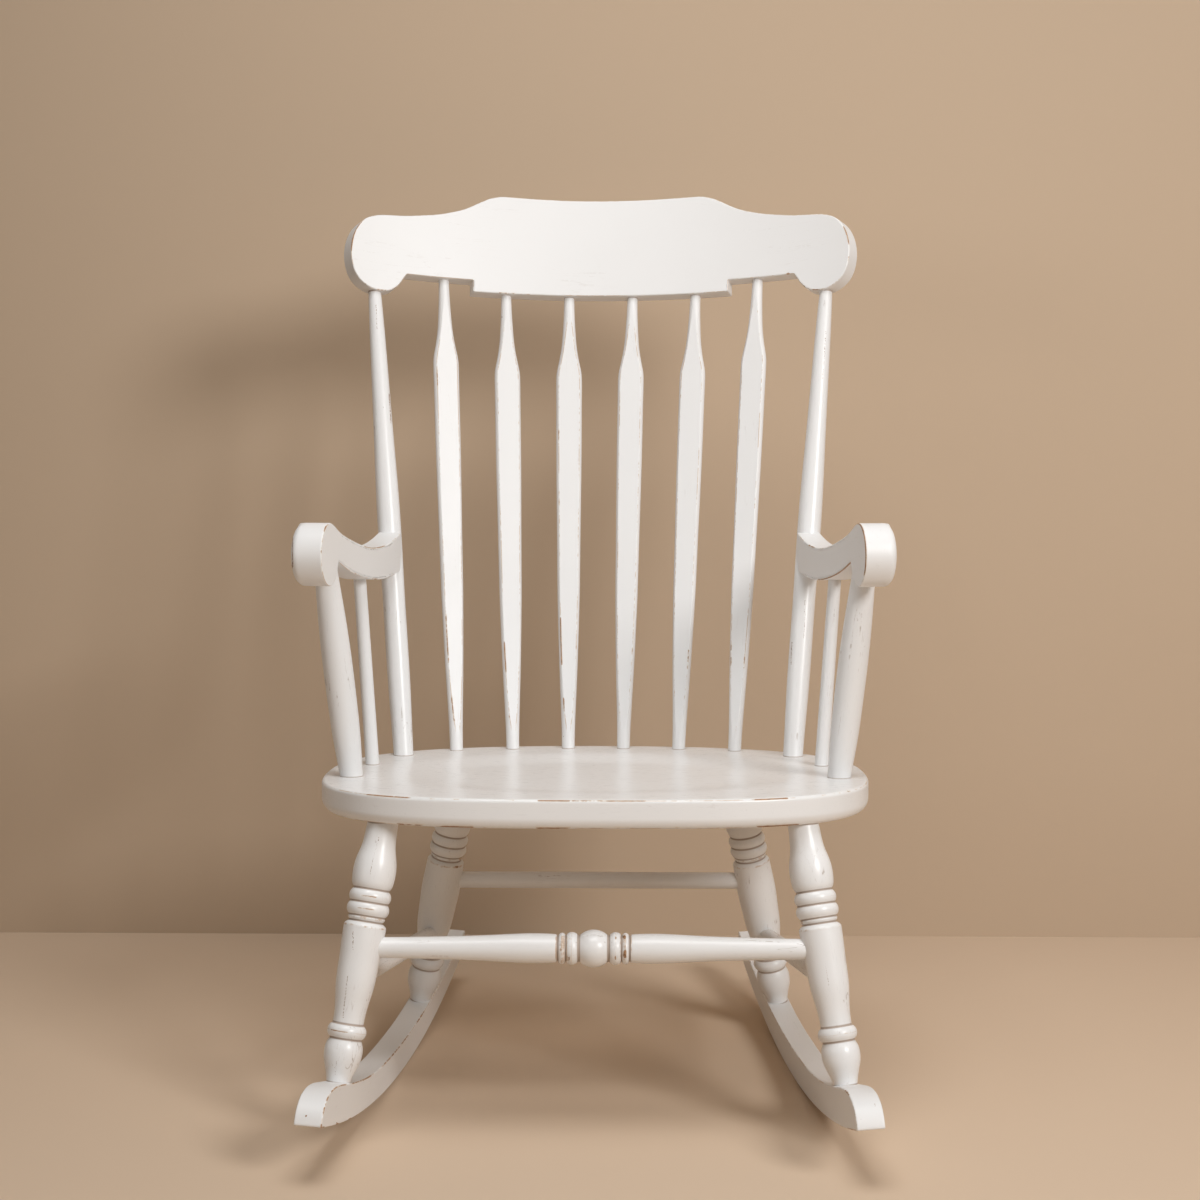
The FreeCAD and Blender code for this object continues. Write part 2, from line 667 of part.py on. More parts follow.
def screw(head, way):
    """A slotted countersunk screw, driven from its head point along way."""
    head_radius = screw_head_diameter / 2
    cone = Part.makeCone(head_radius, screw_diameter / 2, screw_head_depth, head, way)
    shank = Part.makeCylinder(screw_diameter / 2, screw_length, head, way)
    slot = Part.makeBox(screw_head_diameter, screw_slot_width, 2 * screw_slot_depth)
    slot.translate(Vector(-head_radius, -screw_slot_width / 2, -screw_slot_depth))
    slot.Placement = Placement(head, Rotation(upright, way)).multiply(slot.Placement)
    return cone.fuse(shank).cut(slot)


# Blanks, before any socket is bored
seat_blank = seat_plank()
crest_blank = crest_board()
rocker_blank = rocker_board()
arm_blank = arm_plank()

# Legs
front_leg = leg_turning(leg_front_top, leg_front_foot, leg_front_pattern_height, seat_blank, rocker_blank)
rear_leg = leg_turning(leg_rear_top, leg_rear_foot, leg_rear_pattern_height, seat_blank, rocker_blank)

# Stretchers, between points on the leg axes
front_joint = along(leg_front_top, leg_front_foot, front_stretcher_drop)
front_joint_left = Vector(-front_joint.x, front_joint.y, front_joint.z)
rear_joint = along(leg_rear_top, leg_rear_foot, rear_stretcher_drop)
rear_joint_left = Vector(-rear_joint.x, rear_joint.y, rear_joint.z)
side_front_joint = along(leg_front_top, leg_front_foot, side_stretcher_front_drop)
side_rear_joint = along(leg_rear_top, leg_rear_foot, side_stretcher_rear_drop)
front_legs = [front_leg, mirrored(front_leg)]
rear_legs = [rear_leg, mirrored(rear_leg)]
front_stations = front_stretcher_stations(2 * front_joint.x)
pieces["front_stretcher"] = stretcher(front_stations, front_joint_left, front_joint, front_legs)
rear_stations = plain_stations(rear_stretcher_diameter, 2 * rear_joint.x)
pieces["rear_stretcher"] = stretcher(rear_stations, rear_joint_left, rear_joint, rear_legs)
side_stations = plain_stations(side_stretcher_diameter, (side_rear_joint - side_front_joint).Length)
side_stretcher = stretcher(side_stations, side_front_joint, side_rear_joint, [front_leg, rear_leg])
front_leg = stretcher_bored(front_leg, front_joint, front_joint_left)
front_leg = stretcher_bored(front_leg, side_front_joint, side_rear_joint)
rear_leg = stretcher_bored(rear_leg, rear_joint, rear_joint_left)
rear_leg = stretcher_bored(rear_leg, side_rear_joint, side_front_joint)

# Rockers, with the dowels that lock the feet
rocker = rocker_blank
across_rocker = rocker_place().Rotation.multVec(Vector(-1, 0, 0))
rocker_pins = []
for top, foot in ((leg_front_top, leg_front_foot), (leg_rear_top, leg_rear_foot)):
    rocker = bored(rocker, top, foot, leg_foot_tenon_diameter, leg_foot_tenon_length)
    pin_middle = along(foot, top, -rocker_pin_depth)
    pin_start = pin_middle - across_rocker * (rocker_thickness / 2)
    pin_end = pin_start + across_rocker * rocker_pin_length
    rocker_pins.append(rod(pin_start, pin_end, rocker_pin_diameter, 0, 0))
    hole = rod(pin_start, pin_end, rocker_pin_diameter + 2 * glue_line, overrun, glue_line)
    rocker = rocker.cut(hole)
    front_leg = front_leg.cut(hole)
    rear_leg = rear_leg.cut(hole)

# Back posts and arm sticks
post = post_turning().cut([seat_blank, crest_blank])
post = max(post.Solids, key=lambda solid: solid.Volume)
post_seat_tenon = rod(
    post_foot, along(post_foot, post_top, overrun), post_seat_tenon_diameter, post_seat_tenon_length, 0
)
post_crest_tenon = rod(along(post_top, post_foot, overrun), post_top, post_tenon_diameter, 0, post_tenon_length)
post = post.fuse([post_seat_tenon, post_crest_tenon]).removeSplitter()

arm_post_foot = seat_top_point(arm_post_foot_x, arm_post_foot_y)
arm_post_top = arm_point(arm_post_arm_share, arm_post_height_share, arm_stick_offset)
arm_post = swelled(
    arm_post_foot, arm_post_top, arm_post_foot_diameter, arm_post_top_diameter, arm_post_diameter, arm_post_swell_shares
)
arm_post = arm_post.cut([seat_blank, arm_blank])
arm_post = max(arm_post.Solids, key=lambda solid: solid.Volume)
arm_post_low_tenon = rod(
    arm_post_foot, along(arm_post_foot, arm_post_top, overrun), arm_post_tenon_diameter, arm_post_tenon_length, 0
)
arm_post_high_tenon = rod(
    along(arm_post_top, arm_post_foot, overrun), arm_post_top, arm_post_tenon_diameter, 0, arm_post_tenon_length
)
arm_post = arm_post.fuse([arm_post_low_tenon, arm_post_high_tenon]).removeSplitter()

arm_spindle_foot = seat_top_point(arm_spindle_foot_x, arm_spindle_foot_y)
arm_spindle_top = arm_point(arm_spindle_arm_share, arm_under_shares[3][1], arm_stick_offset)
arm_spindle_length = (arm_spindle_top - arm_spindle_foot).Length
arm_spindle_stations = [
    (-arm_spindle_seat_depth, arm_spindle_foot_diameter / 2, 0),
    (0, arm_spindle_foot_diameter / 2, 0),
    (arm_spindle_length, arm_spindle_top_diameter / 2, 0),
    (arm_spindle_length + arm_spindle_arm_depth, arm_spindle_top_diameter / 2, 0),
]
arm_spindle = turned(arm_spindle_stations, arm_spindle_foot, arm_spindle_top)

# Arms, coped round the posts and held by a screw from behind
arm = arm_blank
arm = bored(arm, arm_post_foot, arm_post_top, arm_post_tenon_diameter, arm_post_tenon_length)
arm = bored(arm, arm_spindle_foot, arm_spindle_top, arm_spindle_top_diameter, arm_spindle_arm_depth)
cope = rod(post_foot, post_top, post_arm_diameter + 2 * glue_line, 0, 0)
arm = arm.cut(cope)
screw_way = arm_point(0, 0, 0) - arm_point(1, 0, 0)
screw_way.normalize()
screw_head = post_at_arm - screw_way * (post_arm_diameter / 2 - screw_recess_depth)
arm_screw = screw(screw_head, screw_way)
screw_bore = rod(screw_head, screw_head + screw_way * screw_length, screw_diameter + 2 * glue_line, 0, glue_line)
screw_recess = rod(
    screw_head, screw_head + screw_way * screw_head_depth, screw_head_diameter + 2 * glue_line, 2 * overrun, 0
)
arm = arm.cut(screw_bore)
post = post.cut([screw_bore, screw_recess])

# Crest, with the dowels that lock the posts
crest = bored(crest_blank, post_foot, post_top, post_tenon_diameter, post_tenon_length)
post_turn = post_top_arc / back_bend_radius
ear_way = crest_place.Rotation.multVec(Vector(-math.sin(post_turn), -math.cos(post_turn), 0))
crest_pin_middle = along(post_top, post_foot, -crest_pin_depth)
crest_pin_start = crest_pin_middle - ear_way * (crest_thickness / 2)
crest_pin_end = crest_pin_start + ear_way * crest_pin_length
crest_pin = rod(crest_pin_start, crest_pin_end, crest_pin_diameter, 0, 0)
crest_pin_hole = rod(crest_pin_start, crest_pin_end, crest_pin_diameter + 2 * glue_line, overrun, glue_line)
crest = crest.cut([crest_pin_hole, mirrored(crest_pin_hole)])
post = post.cut(crest_pin_hole)

# The seat's sockets
seat = seat_blank
stick_sockets = (
    (leg_front_foot, leg_front_top, leg_tenon_diameter, leg_tenon_length),
    (leg_rear_foot, leg_rear_top, leg_tenon_diameter, leg_tenon_length),
    (post_top, post_foot, post_seat_tenon_diameter, post_seat_tenon_length),
    (arm_post_top, arm_post_foot, arm_post_tenon_diameter, arm_post_tenon_length),
    (arm_spindle_top, arm_spindle_foot, arm_spindle_foot_diameter, arm_spindle_seat_depth),
)
for start, end, diameter, depth in stick_sockets:
    seat = bored(seat, start, end, diameter, depth)
    left_start = Vector(-start.x, start.y, start.z)
    left_end = Vector(-end.x, end.y, end.z)
    seat = bored(seat, left_start, left_end, diameter, depth)
left_post_foot = Vector(-post_foot.x, post_foot.y, post_foot.z)
left_post_top = Vector(-post_top.x, post_top.y, post_top.z)
crest = bored(crest, left_post_foot, left_post_top, post_tenon_diameter, post_tenon_length)
for index in range(spindle_count):
    foot, top, top_arc = spindle_axis(index)
    seat = bored(seat, top, foot, spindle_foot_diameter, spindle_seat_depth)
    crest = bored(crest, foot, top, spindle_top_diameter, spindle_crest_depth)
    pieces["arrow_spindle_" + str(index + 1)] = arrow_spindle(index)

pieces["seat"] = seat
pieces["crest_rail"] = crest
right_hand = {
    "back_post": post,
    "arm": arm,
    "arm_post": arm_post,
    "arm_spindle": arm_spindle,
    "leg_front": front_leg,
    "leg_rear": rear_leg,
    "rocker": rocker,
    "side_stretcher": side_stretcher,
}
for name, shape in right_hand.items():
    pieces[name + "_right"] = shape
    pieces[name + "_left"] = mirrored(shape)
pieces["arm_screws"] = Part.makeCompound([arm_screw, mirrored(arm_screw)])
pieces["crest_pins"] = Part.makeCompound([crest_pin, mirrored(crest_pin)])
pieces["rocker_pins"] = Part.makeCompound(rocker_pins + [mirrored(pin) for pin in rocker_pins])

os.makedirs("parts", exist_ok=True)
for name, shape in pieces.items():
    shape.exportStep("parts/" + name + ".step")
    print(name, len(shape.Solids), "solid(s)", round(shape.Volume / 1000), "cm3", shape.isValid())
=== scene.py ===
import math

import bmesh
import bpy
import numpy as np
from mathutils import Matrix, Vector


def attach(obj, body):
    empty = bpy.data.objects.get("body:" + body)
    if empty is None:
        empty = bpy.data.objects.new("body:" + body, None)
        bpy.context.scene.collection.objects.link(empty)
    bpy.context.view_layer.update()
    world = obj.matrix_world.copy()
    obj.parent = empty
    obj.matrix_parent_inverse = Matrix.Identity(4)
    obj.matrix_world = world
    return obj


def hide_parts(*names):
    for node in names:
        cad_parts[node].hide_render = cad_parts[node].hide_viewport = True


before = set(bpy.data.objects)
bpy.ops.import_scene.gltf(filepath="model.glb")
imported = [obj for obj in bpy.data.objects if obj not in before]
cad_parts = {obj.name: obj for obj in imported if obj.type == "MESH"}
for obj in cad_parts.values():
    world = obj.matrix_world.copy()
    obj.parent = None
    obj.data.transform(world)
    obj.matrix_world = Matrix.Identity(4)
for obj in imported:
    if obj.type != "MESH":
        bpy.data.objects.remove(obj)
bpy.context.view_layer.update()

# Seat. One thick oval plank, dished by hand, with a soft upper arris and a well-rounded lower one.
# It falls a little towards the back. Like the whole chair it is sanded, primed and painted white,
# and the paint is rubbed through to brown wood along the edges.
seat_width = 0.614
seat_depth = 0.464
seat_thickness = 0.032
seat_centre_y = -0.0195
seat_front_height = 0.368
seat_back_drop = 0.0154
seat_top_round = 0.004
seat_bottom_round = 0.012
dish_depth = 0.006
dish_centre_y = -0.030
dish_rim = (0.80, 0.74)
dish_edge_share = 1.04
dish_floor_share = 0.635
seat_top_steps = 33
seat_round_steps = 9
seat_band_steps = 4
seat_lower_wear = math.radians(66)
seat_outline_shares = (
    (0.0, -1.0), (0.25, -0.995), (0.48, -0.967), (0.67, -0.895), (0.83, -0.766), (0.94, -0.565),
    (0.99, -0.31), (1.0, 0.0), (0.97, 0.335), (0.89, 0.565), (0.755, 0.755), (0.58, 0.883),
    (0.36, 0.965), (0.17, 0.994), (0.0, 1.0),
)
seat_slope = math.asin(seat_back_drop / seat_depth)

# Worn places, here and below: the two ends of a stroke in the photograph's frame of 1200 by 1200, and how
# strongly it is rubbed. Above 1 the paint is chipped off away from any edge. Two strokes on the crest are not
# wear but darkened places.
seat_marks = (
    (370, 797, 390, 797, 0.9), (393, 797.5, 409, 797.5, 0.6), (433, 797.5, 440, 797.5, 0.5),
    (454, 797.5, 462, 797.5, 0.5), (495, 797.5, 515, 798, 0.6), (541, 800, 566, 800, 0.95),
    (567, 800, 601, 800, 0.6), (608, 800, 617, 800, 0.6), (622, 800, 640, 800, 0.55),
    (690, 798.5, 707, 798.5, 0.4), (758, 799, 785, 799, 0.95), (806, 797, 850, 791, 0.45),
    (864, 781, 867, 786, 0.5), (343, 814, 344, 814, 0.7), (400, 823, 421, 823, 0.7),
    (444, 825.5, 470, 825.5, 0.9), (538, 826, 568, 826, 0.85), (593, 825, 594, 825, 0.5),
    (615, 826, 627, 827, 0.55), (675, 826, 680, 826, 0.5), (760, 826, 795, 824.5, 0.9),
)
viewer_place = (0.0448, -2.3091, 0.7444)
viewer_tilt = math.radians(85.3)
viewer_turn = math.radians(1.0)
viewer_lens = 60.49
viewer_film = 36
picture_size = 1200
mark_reach = 4.5
chip_reach = 1.9
facing_fade = 0.1
far_off = 0.01


def reach_along(line):
    """How far along the line each of its points lies."""
    return np.concatenate([[0], np.cumsum(np.linalg.norm(np.diff(line, axis=0), axis=1))])


def smooth_through(points, count, closed=False):
    """A cubic through the points whose slope and bend run on across each of them, at even chord steps.
    The slopes solve the usual system of three neighbours; open ends are free of bend."""
    points = np.asarray(points, float)
    knots = np.vstack([points, points[:1]]) if closed else points
    size = len(points)
    step = np.linalg.norm(np.diff(knots, axis=0), axis=1)
    rise = np.diff(knots, axis=0) / step[:, None]
    here = np.arange(size)
    before = np.roll(step, 1) if closed else np.concatenate([[1], step])
    after = step if closed else np.concatenate([step, [1]])
    rise_before = np.roll(rise, 1, axis=0) if closed else np.vstack([rise[:1], rise])
    rise_after = rise if closed else np.vstack([rise, rise[-1:]])
    system = np.zeros((size, size))
    system[here, here] = 2 * (before + after)
    system[here, (here + 1) % size] = before
    system[here, here - 1] = after
    wanted = 3 * (after[:, None] * rise_before + before[:, None] * rise_after)
    if not closed:
        system[0] = 0
        system[-1] = 0
        system[0, :2] = (2, 1)
        system[-1, -2:] = (1, 2)
        wanted[0] = 3 * rise[0]
        wanted[-1] = 3 * rise[-1]
    slopes = np.linalg.solve(system, wanted)
    reach = reach_along(knots)
    at = np.linspace(0, reach[-1], count, endpoint=not closed)
    k = np.clip(np.searchsorted(reach, at, side="right") - 1, 0, len(step) - 1)
    t = ((at - reach[k]) / step[k])[:, None]
    leave = slopes[k] * step[k][:, None]
    arrive = slopes[(k + 1) % size] * step[k][:, None]
    return (
        (2 * t**3 - 3 * t**2 + 1) * knots[k]
        + (t**3 - 2 * t**2 + t) * leave
        + (3 * t**2 - 2 * t**3) * knots[k + 1]
        + (t**3 - t**2) * arrive
    )


def outward(line):
    """Unit normals of a closed flat line, on its outer side: the tangent turned by a right angle."""
    tangent = np.roll(line, -1, axis=0) - np.roll(line, 1, axis=0)
    tangent /= np.linalg.norm(tangent, axis=1)[:, None]
    area = np.sum(line[:, 0] * np.roll(line[:, 1], -1) - line[:, 1] * np.roll(line[:, 0], -1))
    return np.stack([tangent[:, 1], -tangent[:, 0]], axis=1) * np.sign(area)


def carried(points, origin, axes):
    """Points given along three axes, brought to the chair: the origin plus each coordinate times its axis."""
    return points @ np.array(axes) + np.array(origin)


def rubbed(points, normals, marks):
    """How strongly each point is rubbed: the strongest stroke, fading with the square of the distance from it
    as the viewer sees both, times how far the surface faces the viewer."""
    to_viewer = np.array(viewer_place) - points
    view = Matrix.Rotation(viewer_turn, 3, "Z") @ Matrix.Rotation(viewer_tilt, 3, "X")
    local = -to_viewer @ np.array(view)
    scale = picture_size * viewer_lens / viewer_film
    across = picture_size / 2 - scale * local[:, 0] / local[:, 2]
    down = picture_size / 2 + scale * local[:, 1] / local[:, 2]
    facing = np.sum(to_viewer * normals, axis=1) / np.linalg.norm(to_viewer, axis=1)
    rub = np.zeros(len(points))
    for left, top, right, bottom, strength in marks:
        run = np.array((right - left, bottom - top))
        share = ((across - left) * run[0] + (down - top) * run[1]) / max(run @ run, 0.01)
        share = np.clip(share, 0, 1)
        gap = np.hypot(across - left - share * run[0], down - top - share * run[1])
        reach = chip_reach if strength > 1 else mark_reach
        rub = np.maximum(rub, strength * np.exp(-((gap / reach) ** 2)))
    return rub * np.clip(facing / facing_fade, 0, 1)


def wooden_piece(name, rows, grain, arris, groove, paint, shift=0.0, mirror=False, marks=()):
    """A closed mesh from a grid of points, rows by columns, whose columns run round the piece. A row on one
    point is a pole. Each point keeps its place in the grain, its rub, and how far arris and groove are."""
    count, columns = rows.shape[:2]
    index = np.arange(count * columns).reshape(count, columns)
    beside = np.roll(index, -1, axis=1)
    quads = np.stack([index[:-1], beside[:-1], beside[1:], index[1:]], axis=-1).reshape(-1, 4)
    points = rows.reshape(-1, 3) * np.array([-1.0 if mirror else 1.0, 1.0, 1.0])
    mesh = bpy.data.meshes.new(name)
    mesh.from_pydata(points.tolist(), [], quads.tolist())
    places = grain.reshape(-1, 3) + np.array([shift, 0.37 * shift, 0.61 * shift])
    kept = mesh.attributes.new("grain", "FLOAT_VECTOR", "POINT").data
    kept.foreach_set("vector", places.astype(np.float32).ravel())
    for label, values in (("arris", arris), ("groove", groove)):
        spread = np.broadcast_to(values, (count, columns)).astype(np.float32)
        mesh.attributes.new(label, "FLOAT", "POINT").data.foreach_set("value", spread.ravel())
    shell = bmesh.new()
    shell.from_mesh(mesh)
    bmesh.ops.remove_doubles(shell, verts=shell.verts, dist=1e-6)
    bmesh.ops.recalc_face_normals(shell, faces=shell.faces)
    shell.to_mesh(mesh)
    shell.free()
    places = np.empty(3 * len(mesh.vertices))
    mesh.vertices.foreach_get("co", places)
    normals = np.empty(3 * len(mesh.vertices))
    mesh.vertices.foreach_get("normal", normals)
    rub = rubbed(places.reshape(-1, 3), normals.reshape(-1, 3), marks)
    mesh.attributes.new("rub", "FLOAT", "POINT").data.foreach_set("value", rub.astype(np.float32))
    mesh.polygons.foreach_set("use_smooth", np.ones(len(mesh.polygons), bool))
    mesh.materials.append(paint)
    piece = bpy.data.objects.new(name, mesh)
    bpy.context.scene.collection.objects.link(piece)
    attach(piece, "root")
    return piece


class Brush:
    """One output in a finish's node tree. Sums on it add Math nodes, and node adds any other."""

    def __init__(self, tree, socket=None):
        self.tree = tree
        self.socket = socket

    def node(self, kind, settings=None, inputs=None, output=0):
        """A node of that type, with its settings first and then the values or links of its sockets."""
        made = self.tree.nodes.new(kind)
        for key, value in (settings or {}).items():
            setattr(made, key, value)
        for key, value in (inputs or {}).items():
            if isinstance(value, Brush):
                self.tree.links.new(value.socket, made.inputs[key])
            else:
                made.inputs[key].default_value = value
        return Brush(self.tree, made.outputs[output])

    def sum(self, operation, *values):
        return self.node("ShaderNodeMath", {"operation": operation}, dict(enumerate(values)))

    def __add__(self, other):
        return self.sum("ADD", self, other)

    def __sub__(self, other):
        return self.sum("SUBTRACT", self, other)

    def __mul__(self, other):
        return self.sum("MULTIPLY", self, other)

    def __truediv__(self, other):
        return self.sum("DIVIDE", self, other)

    def ramp(self, low, high, start=0.0, end=1.0):
        """Eases from start to end as the value goes from low to high."""
        settings = {"interpolation_type": "SMOOTHSTEP"}
        inputs = {"Value": self, "From Min": low, "From Max": high, "To Min": start, "To Max": end}
        return self.node("ShaderNodeMapRange", settings, inputs)

    def stretched(self, along, across):
        """The vector with its first part times along and the others times across."""
        inputs = {0: self, 1: (along, across, across)}
        return self.node("ShaderNodeVectorMath", {"operation": "MULTIPLY"}, inputs)

    def noise(self, scale, detail=3.0, roughness=0.5):
        inputs = {"Vector": self, "Scale": scale, "Detail": detail, "Roughness": roughness}
        return self.node("ShaderNodeTexNoise", {}, inputs)

    def blend(self, low, high):
        """A colour that goes from low to high with this value."""
        return self.node("ShaderNodeMix", {"data_type": "RGBA"}, {0: self, 6: low, 7: high}, 2)


def rubbed_paint(name, gloss, aged):
    """White paint over brown wood. Along an arris it is worn to a fine broken tan line, and to bare wood
    where a hand rubbed it. Aged paint has cracks and specks, and all has brush lines, and is darkened by dust
    and painted shade in its grooves and where it meets other parts."""
    light_wood = (0.50, 0.29, 0.155, 1)
    dark_wood = (0.21, 0.105, 0.052, 1)
    warm_white = (0.79, 0.785, 0.78, 1)
    clear_white = (0.825, 0.822, 0.82, 1)
    dust_and_shade_colour = (0.30, 0.20, 0.13, 1)
    thin_paint = (0.72, 0.64, 0.54, 1)
    tan_line = (0.52, 0.36, 0.23, 1)
    crack_colour = (0.22, 0.12, 0.06, 1)
    paint = bpy.data.materials.new(name)
    paint.use_nodes = True
    tree = paint.node_tree
    start = Brush(tree)
    kind = "ShaderNodeAttribute"
    place = start.node(kind, {"attribute_name": "grain"}, None, 1)
    kept = ("arris", "groove", "rub")
    arris, groove, rub = (start.node(kind, {"attribute_name": label}, None, 2) for label in kept)
    patches = place.noise(14.0, 2.0)
    breaks = place.noise(150.0, 3.0, 0.6)
    crumbs = place.noise(900.0, 2.0, 0.6)
    presence = rub * 0.9 + patches.ramp(0.60, 0.68, 0.0, 0.30) + (breaks - 0.5) * 0.9
    width = breaks * 0.0007 + rub * 0.0004 + 0.0001
    near = arris / width
    edge_wear = (near + (crumbs - 0.5) * 0.8).ramp(0.7, 1.3, 1.0, 0.0) * presence.ramp(0.42, 0.60)
    chip = (rub - 1.0 + (crumbs - 0.5) * 0.8).ramp(0.14, 0.26)
    worn = start.sum("MAXIMUM", edge_wear, chip)
    fine = (arris / 0.0005).ramp(0.5, 1.4, 0.75, 0.0) * (breaks * 0.7 + patches).ramp(0.80, 0.98)
    halo = near.ramp(1.0, 3.0, 0.5, 0.0) * presence.ramp(0.34, 0.55)
    cells = place.node("ShaderNodeTexVoronoi", {}, {"Vector": place, "Scale": 42.0})
    chance = Brush(tree, cells.socket.node.outputs["Color"])
    specks = cells.ramp(0.014, 0.026, 0.8 * aged, 0.0) * chance.ramp(0.66, 0.68)
    line = start.sum("ABSOLUTE", place.stretched(0.06, 1.0).noise(90.0, 2.0) - 0.5)
    cracks = line.ramp(0.003, 0.010, 0.6 * aged, 0.0) * patches.ramp(0.53, 0.60) * breaks.ramp(0.42, 0.60)
    brown = crumbs.ramp(0.36, 0.62).blend(light_wood, dark_wood)
    white = place.noise(5.0, 3.0).blend(warm_white, clear_white)
    # Dust and painted shade: near a groove, and near the line where the piece meets the seat, runner or
    # crest, the white is darkened towards brown. The darkening is broad over a millimetre and a half, and
    # strongest in the last few tenths as a painted contact shadow.
    dust_and_shade = groove.ramp(0.0004, 0.0016, 0.30, 0.0) + groove.ramp(0.0002, 0.0009, 0.45, 0.0)
    white = fine.blend(halo.blend(dust_and_shade.blend(white, dust_and_shade_colour), thin_paint), tan_line)
    white = start.sum("MAXIMUM", specks, cracks).blend(white, crack_colour)
    colour = worn.blend(white, brown)
    streaks = place.stretched(1.0, 14.0).noise(60.0, 3.0, 0.6)
    height = streaks * (0.12 * aged) + crumbs * 0.05 - worn - cracks * 0.6 + place.noise(24.0, 2.0) * 0.35
    bump = start.node("ShaderNodeBump", {}, {"Strength": 0.3, "Distance": 0.0004, "Height": height})
    rough = streaks.ramp(0.3, 0.7, gloss - 0.03, gloss + 0.04) + worn * 0.3 + dust_and_shade * 0.3
    shader = tree.nodes["Principled BSDF"]
    tree.links.new(colour.socket, shader.inputs["Base Color"])
    tree.links.new(rough.socket, shader.inputs["Roughness"])
    tree.links.new(bump.socket, shader.inputs["Normal"])
    return paint


seat_oval = smooth_through(
    [(x * seat_width / 2, y * seat_depth / 2) for x, y in seat_outline_shares]
    + [(-x * seat_width / 2, y * seat_depth / 2) for x, y in seat_outline_shares[-2:0:-1]],
    720,
    closed=True,
)
seat_out = outward(seat_oval)
seat_steps = []
for share in np.linspace(0, 1, seat_top_steps + 1)[:-1]:
    seat_steps.append((share**0.8, seat_top_round, 0.0))
for turn in np.linspace(0, math.pi / 2, seat_round_steps):
    seat_steps.append((1.0, seat_top_round * (1 - math.sin(turn)), -seat_top_round * (1 - math.cos(turn))))
seat_band = seat_thickness - seat_top_round - seat_bottom_round
for share in np.linspace(0, 1, seat_band_steps + 2)[1:-1]:
    seat_steps.append((1.0, 0.0, -seat_top_round - share * seat_band))
for turn in np.linspace(0, math.pi / 2, 16):
    drop = seat_bottom_round * (1 - math.sin(turn))
    seat_steps.append((1.0, seat_bottom_round * (1 - math.cos(turn)), -seat_thickness + drop))
for share in (0.99, 0.97, 0.9, 0.7, 0.4, 0.0):
    seat_steps.append((share, seat_bottom_round, -seat_thickness))
seat_steps = np.array(seat_steps)
seat_flat = seat_steps[:, 0, None, None] * (seat_oval[None] - seat_out[None] * seat_steps[:, 1, None, None])
dish_x = seat_flat[..., 0] / (seat_width / 2 * dish_rim[0])
dish_y = (seat_flat[..., 1] - dish_centre_y + seat_centre_y) / (seat_depth / 2 * dish_rim[1])
dish = np.clip((dish_edge_share - np.hypot(dish_x, dish_y)) / (dish_edge_share - dish_floor_share), 0, 1)
seat_z = np.broadcast_to(seat_steps[:, 2, None], seat_flat.shape[:2]).copy()
on_top = seat_z == 0
seat_z[on_top] -= dish_depth * (dish * dish * (3 - 2 * dish))[on_top]
seat_rows = np.concatenate([seat_flat, seat_z[..., None]], axis=-1)
seat_path = reach_along(seat_rows[:, 0])
seat_rim_at = seat_path[seat_top_steps] + seat_top_round * math.pi / 4
seat_lower_step = seat_top_steps + seat_round_steps + seat_band_steps
seat_foot_at = seat_path[seat_lower_step] + seat_bottom_round * seat_lower_wear
seat_arris = np.minimum(np.abs(seat_path - seat_rim_at), 0.3 * np.abs(seat_path - seat_foot_at))[:, None]


def seat_top_z(y):
    return seat_front_height - seat_back_drop * (y - seat_centre_y + seat_depth / 2) / seat_depth


seat_axes = (
    (1, 0, 0),
    (0, math.cos(seat_slope), -math.sin(seat_slope)),
    (0, math.sin(seat_slope), math.cos(seat_slope)),
)
seat_paint = rubbed_paint("seat_paint", gloss=0.30, aged=0.15)
seat_world = carried(seat_rows, (0, seat_centre_y, seat_top_z(seat_centre_y)), seat_axes)
seat_form = (seat_world, seat_rows, seat_arris, far_off, seat_paint)
seat = wooden_piece("seat_plank", *seat_form, 3.1, False, seat_marks)
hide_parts("seat")

# Rockers. Two sawn runners of one plank thickness, toed out in front and leaning in a little like the
# legs. The nose is swept up from the running edge, and the arrises are broken by hand.
rocker_radius = 1.290
rocker_length = 0.7575
rocker_depth = 0.0345
rocker_thickness = 0.0285
rocker_spread = 0.479
rocker_low_y = 0.022
rocker_front = rocker_length * 0.5288
rocker_toe = math.radians(5.9)
rocker_lean = math.radians(3.0)
arris_round = 0.0014
rocker_top_shares = (
    (0.0, 0.0), (0.006, 0.34), (0.018, 0.68), (0.037, 0.95), (0.057, 1.095), (0.0883, 1.18),
    (0.12, 1.17), (0.17, 1.11), (0.21, 1.06), (0.27, 1.0), (0.43, 1.0), (0.58, 1.0), (0.70, 0.96),
    (0.85, 0.885), (1.0, 0.70),
)
rocker_marks = {
    "left": (
        (320, 1127, 322, 1129, 0.95), (333, 1092, 344, 1085, 0.75), (326, 1112, 328, 1099, 0.7),
        (353, 1084, 370, 1076, 0.6), (384, 1066, 407, 1036, 0.6), (418, 1021, 422, 1013, 0.6),
        (434, 989, 448, 961, 0.6), (392, 1022, 398, 1009, 0.5), (306, 1116, 306, 1116, 1.7),
        (310, 1115, 312, 1108, 1.4), (337, 1123, 337, 1123, 1.4), (350, 1119, 350, 1119, 1.3),
        (366, 1110, 366, 1110, 1.35),
    ),
    "right": (
        (850, 1130, 853, 1130, 0.95), (841, 1112, 847, 1092, 0.7), (752, 960, 762, 985, 0.6),
        (861, 1119, 861, 1119, 1.35), (875, 1103, 875, 1107, 1.25),
    ),
}


def even_steps(line, spacing, closed):
    """The line read again at even steps of its own length."""
    whole = np.vstack([line, line[:1]]) if closed else line
    reach = reach_along(whole)
    count = int(reach[-1] / spacing)
    at = np.linspace(0, reach[-1], count, endpoint=not closed)
    return np.stack([np.interp(at, reach, whole[:, k]) for k in range(whole.shape[1])], axis=1)


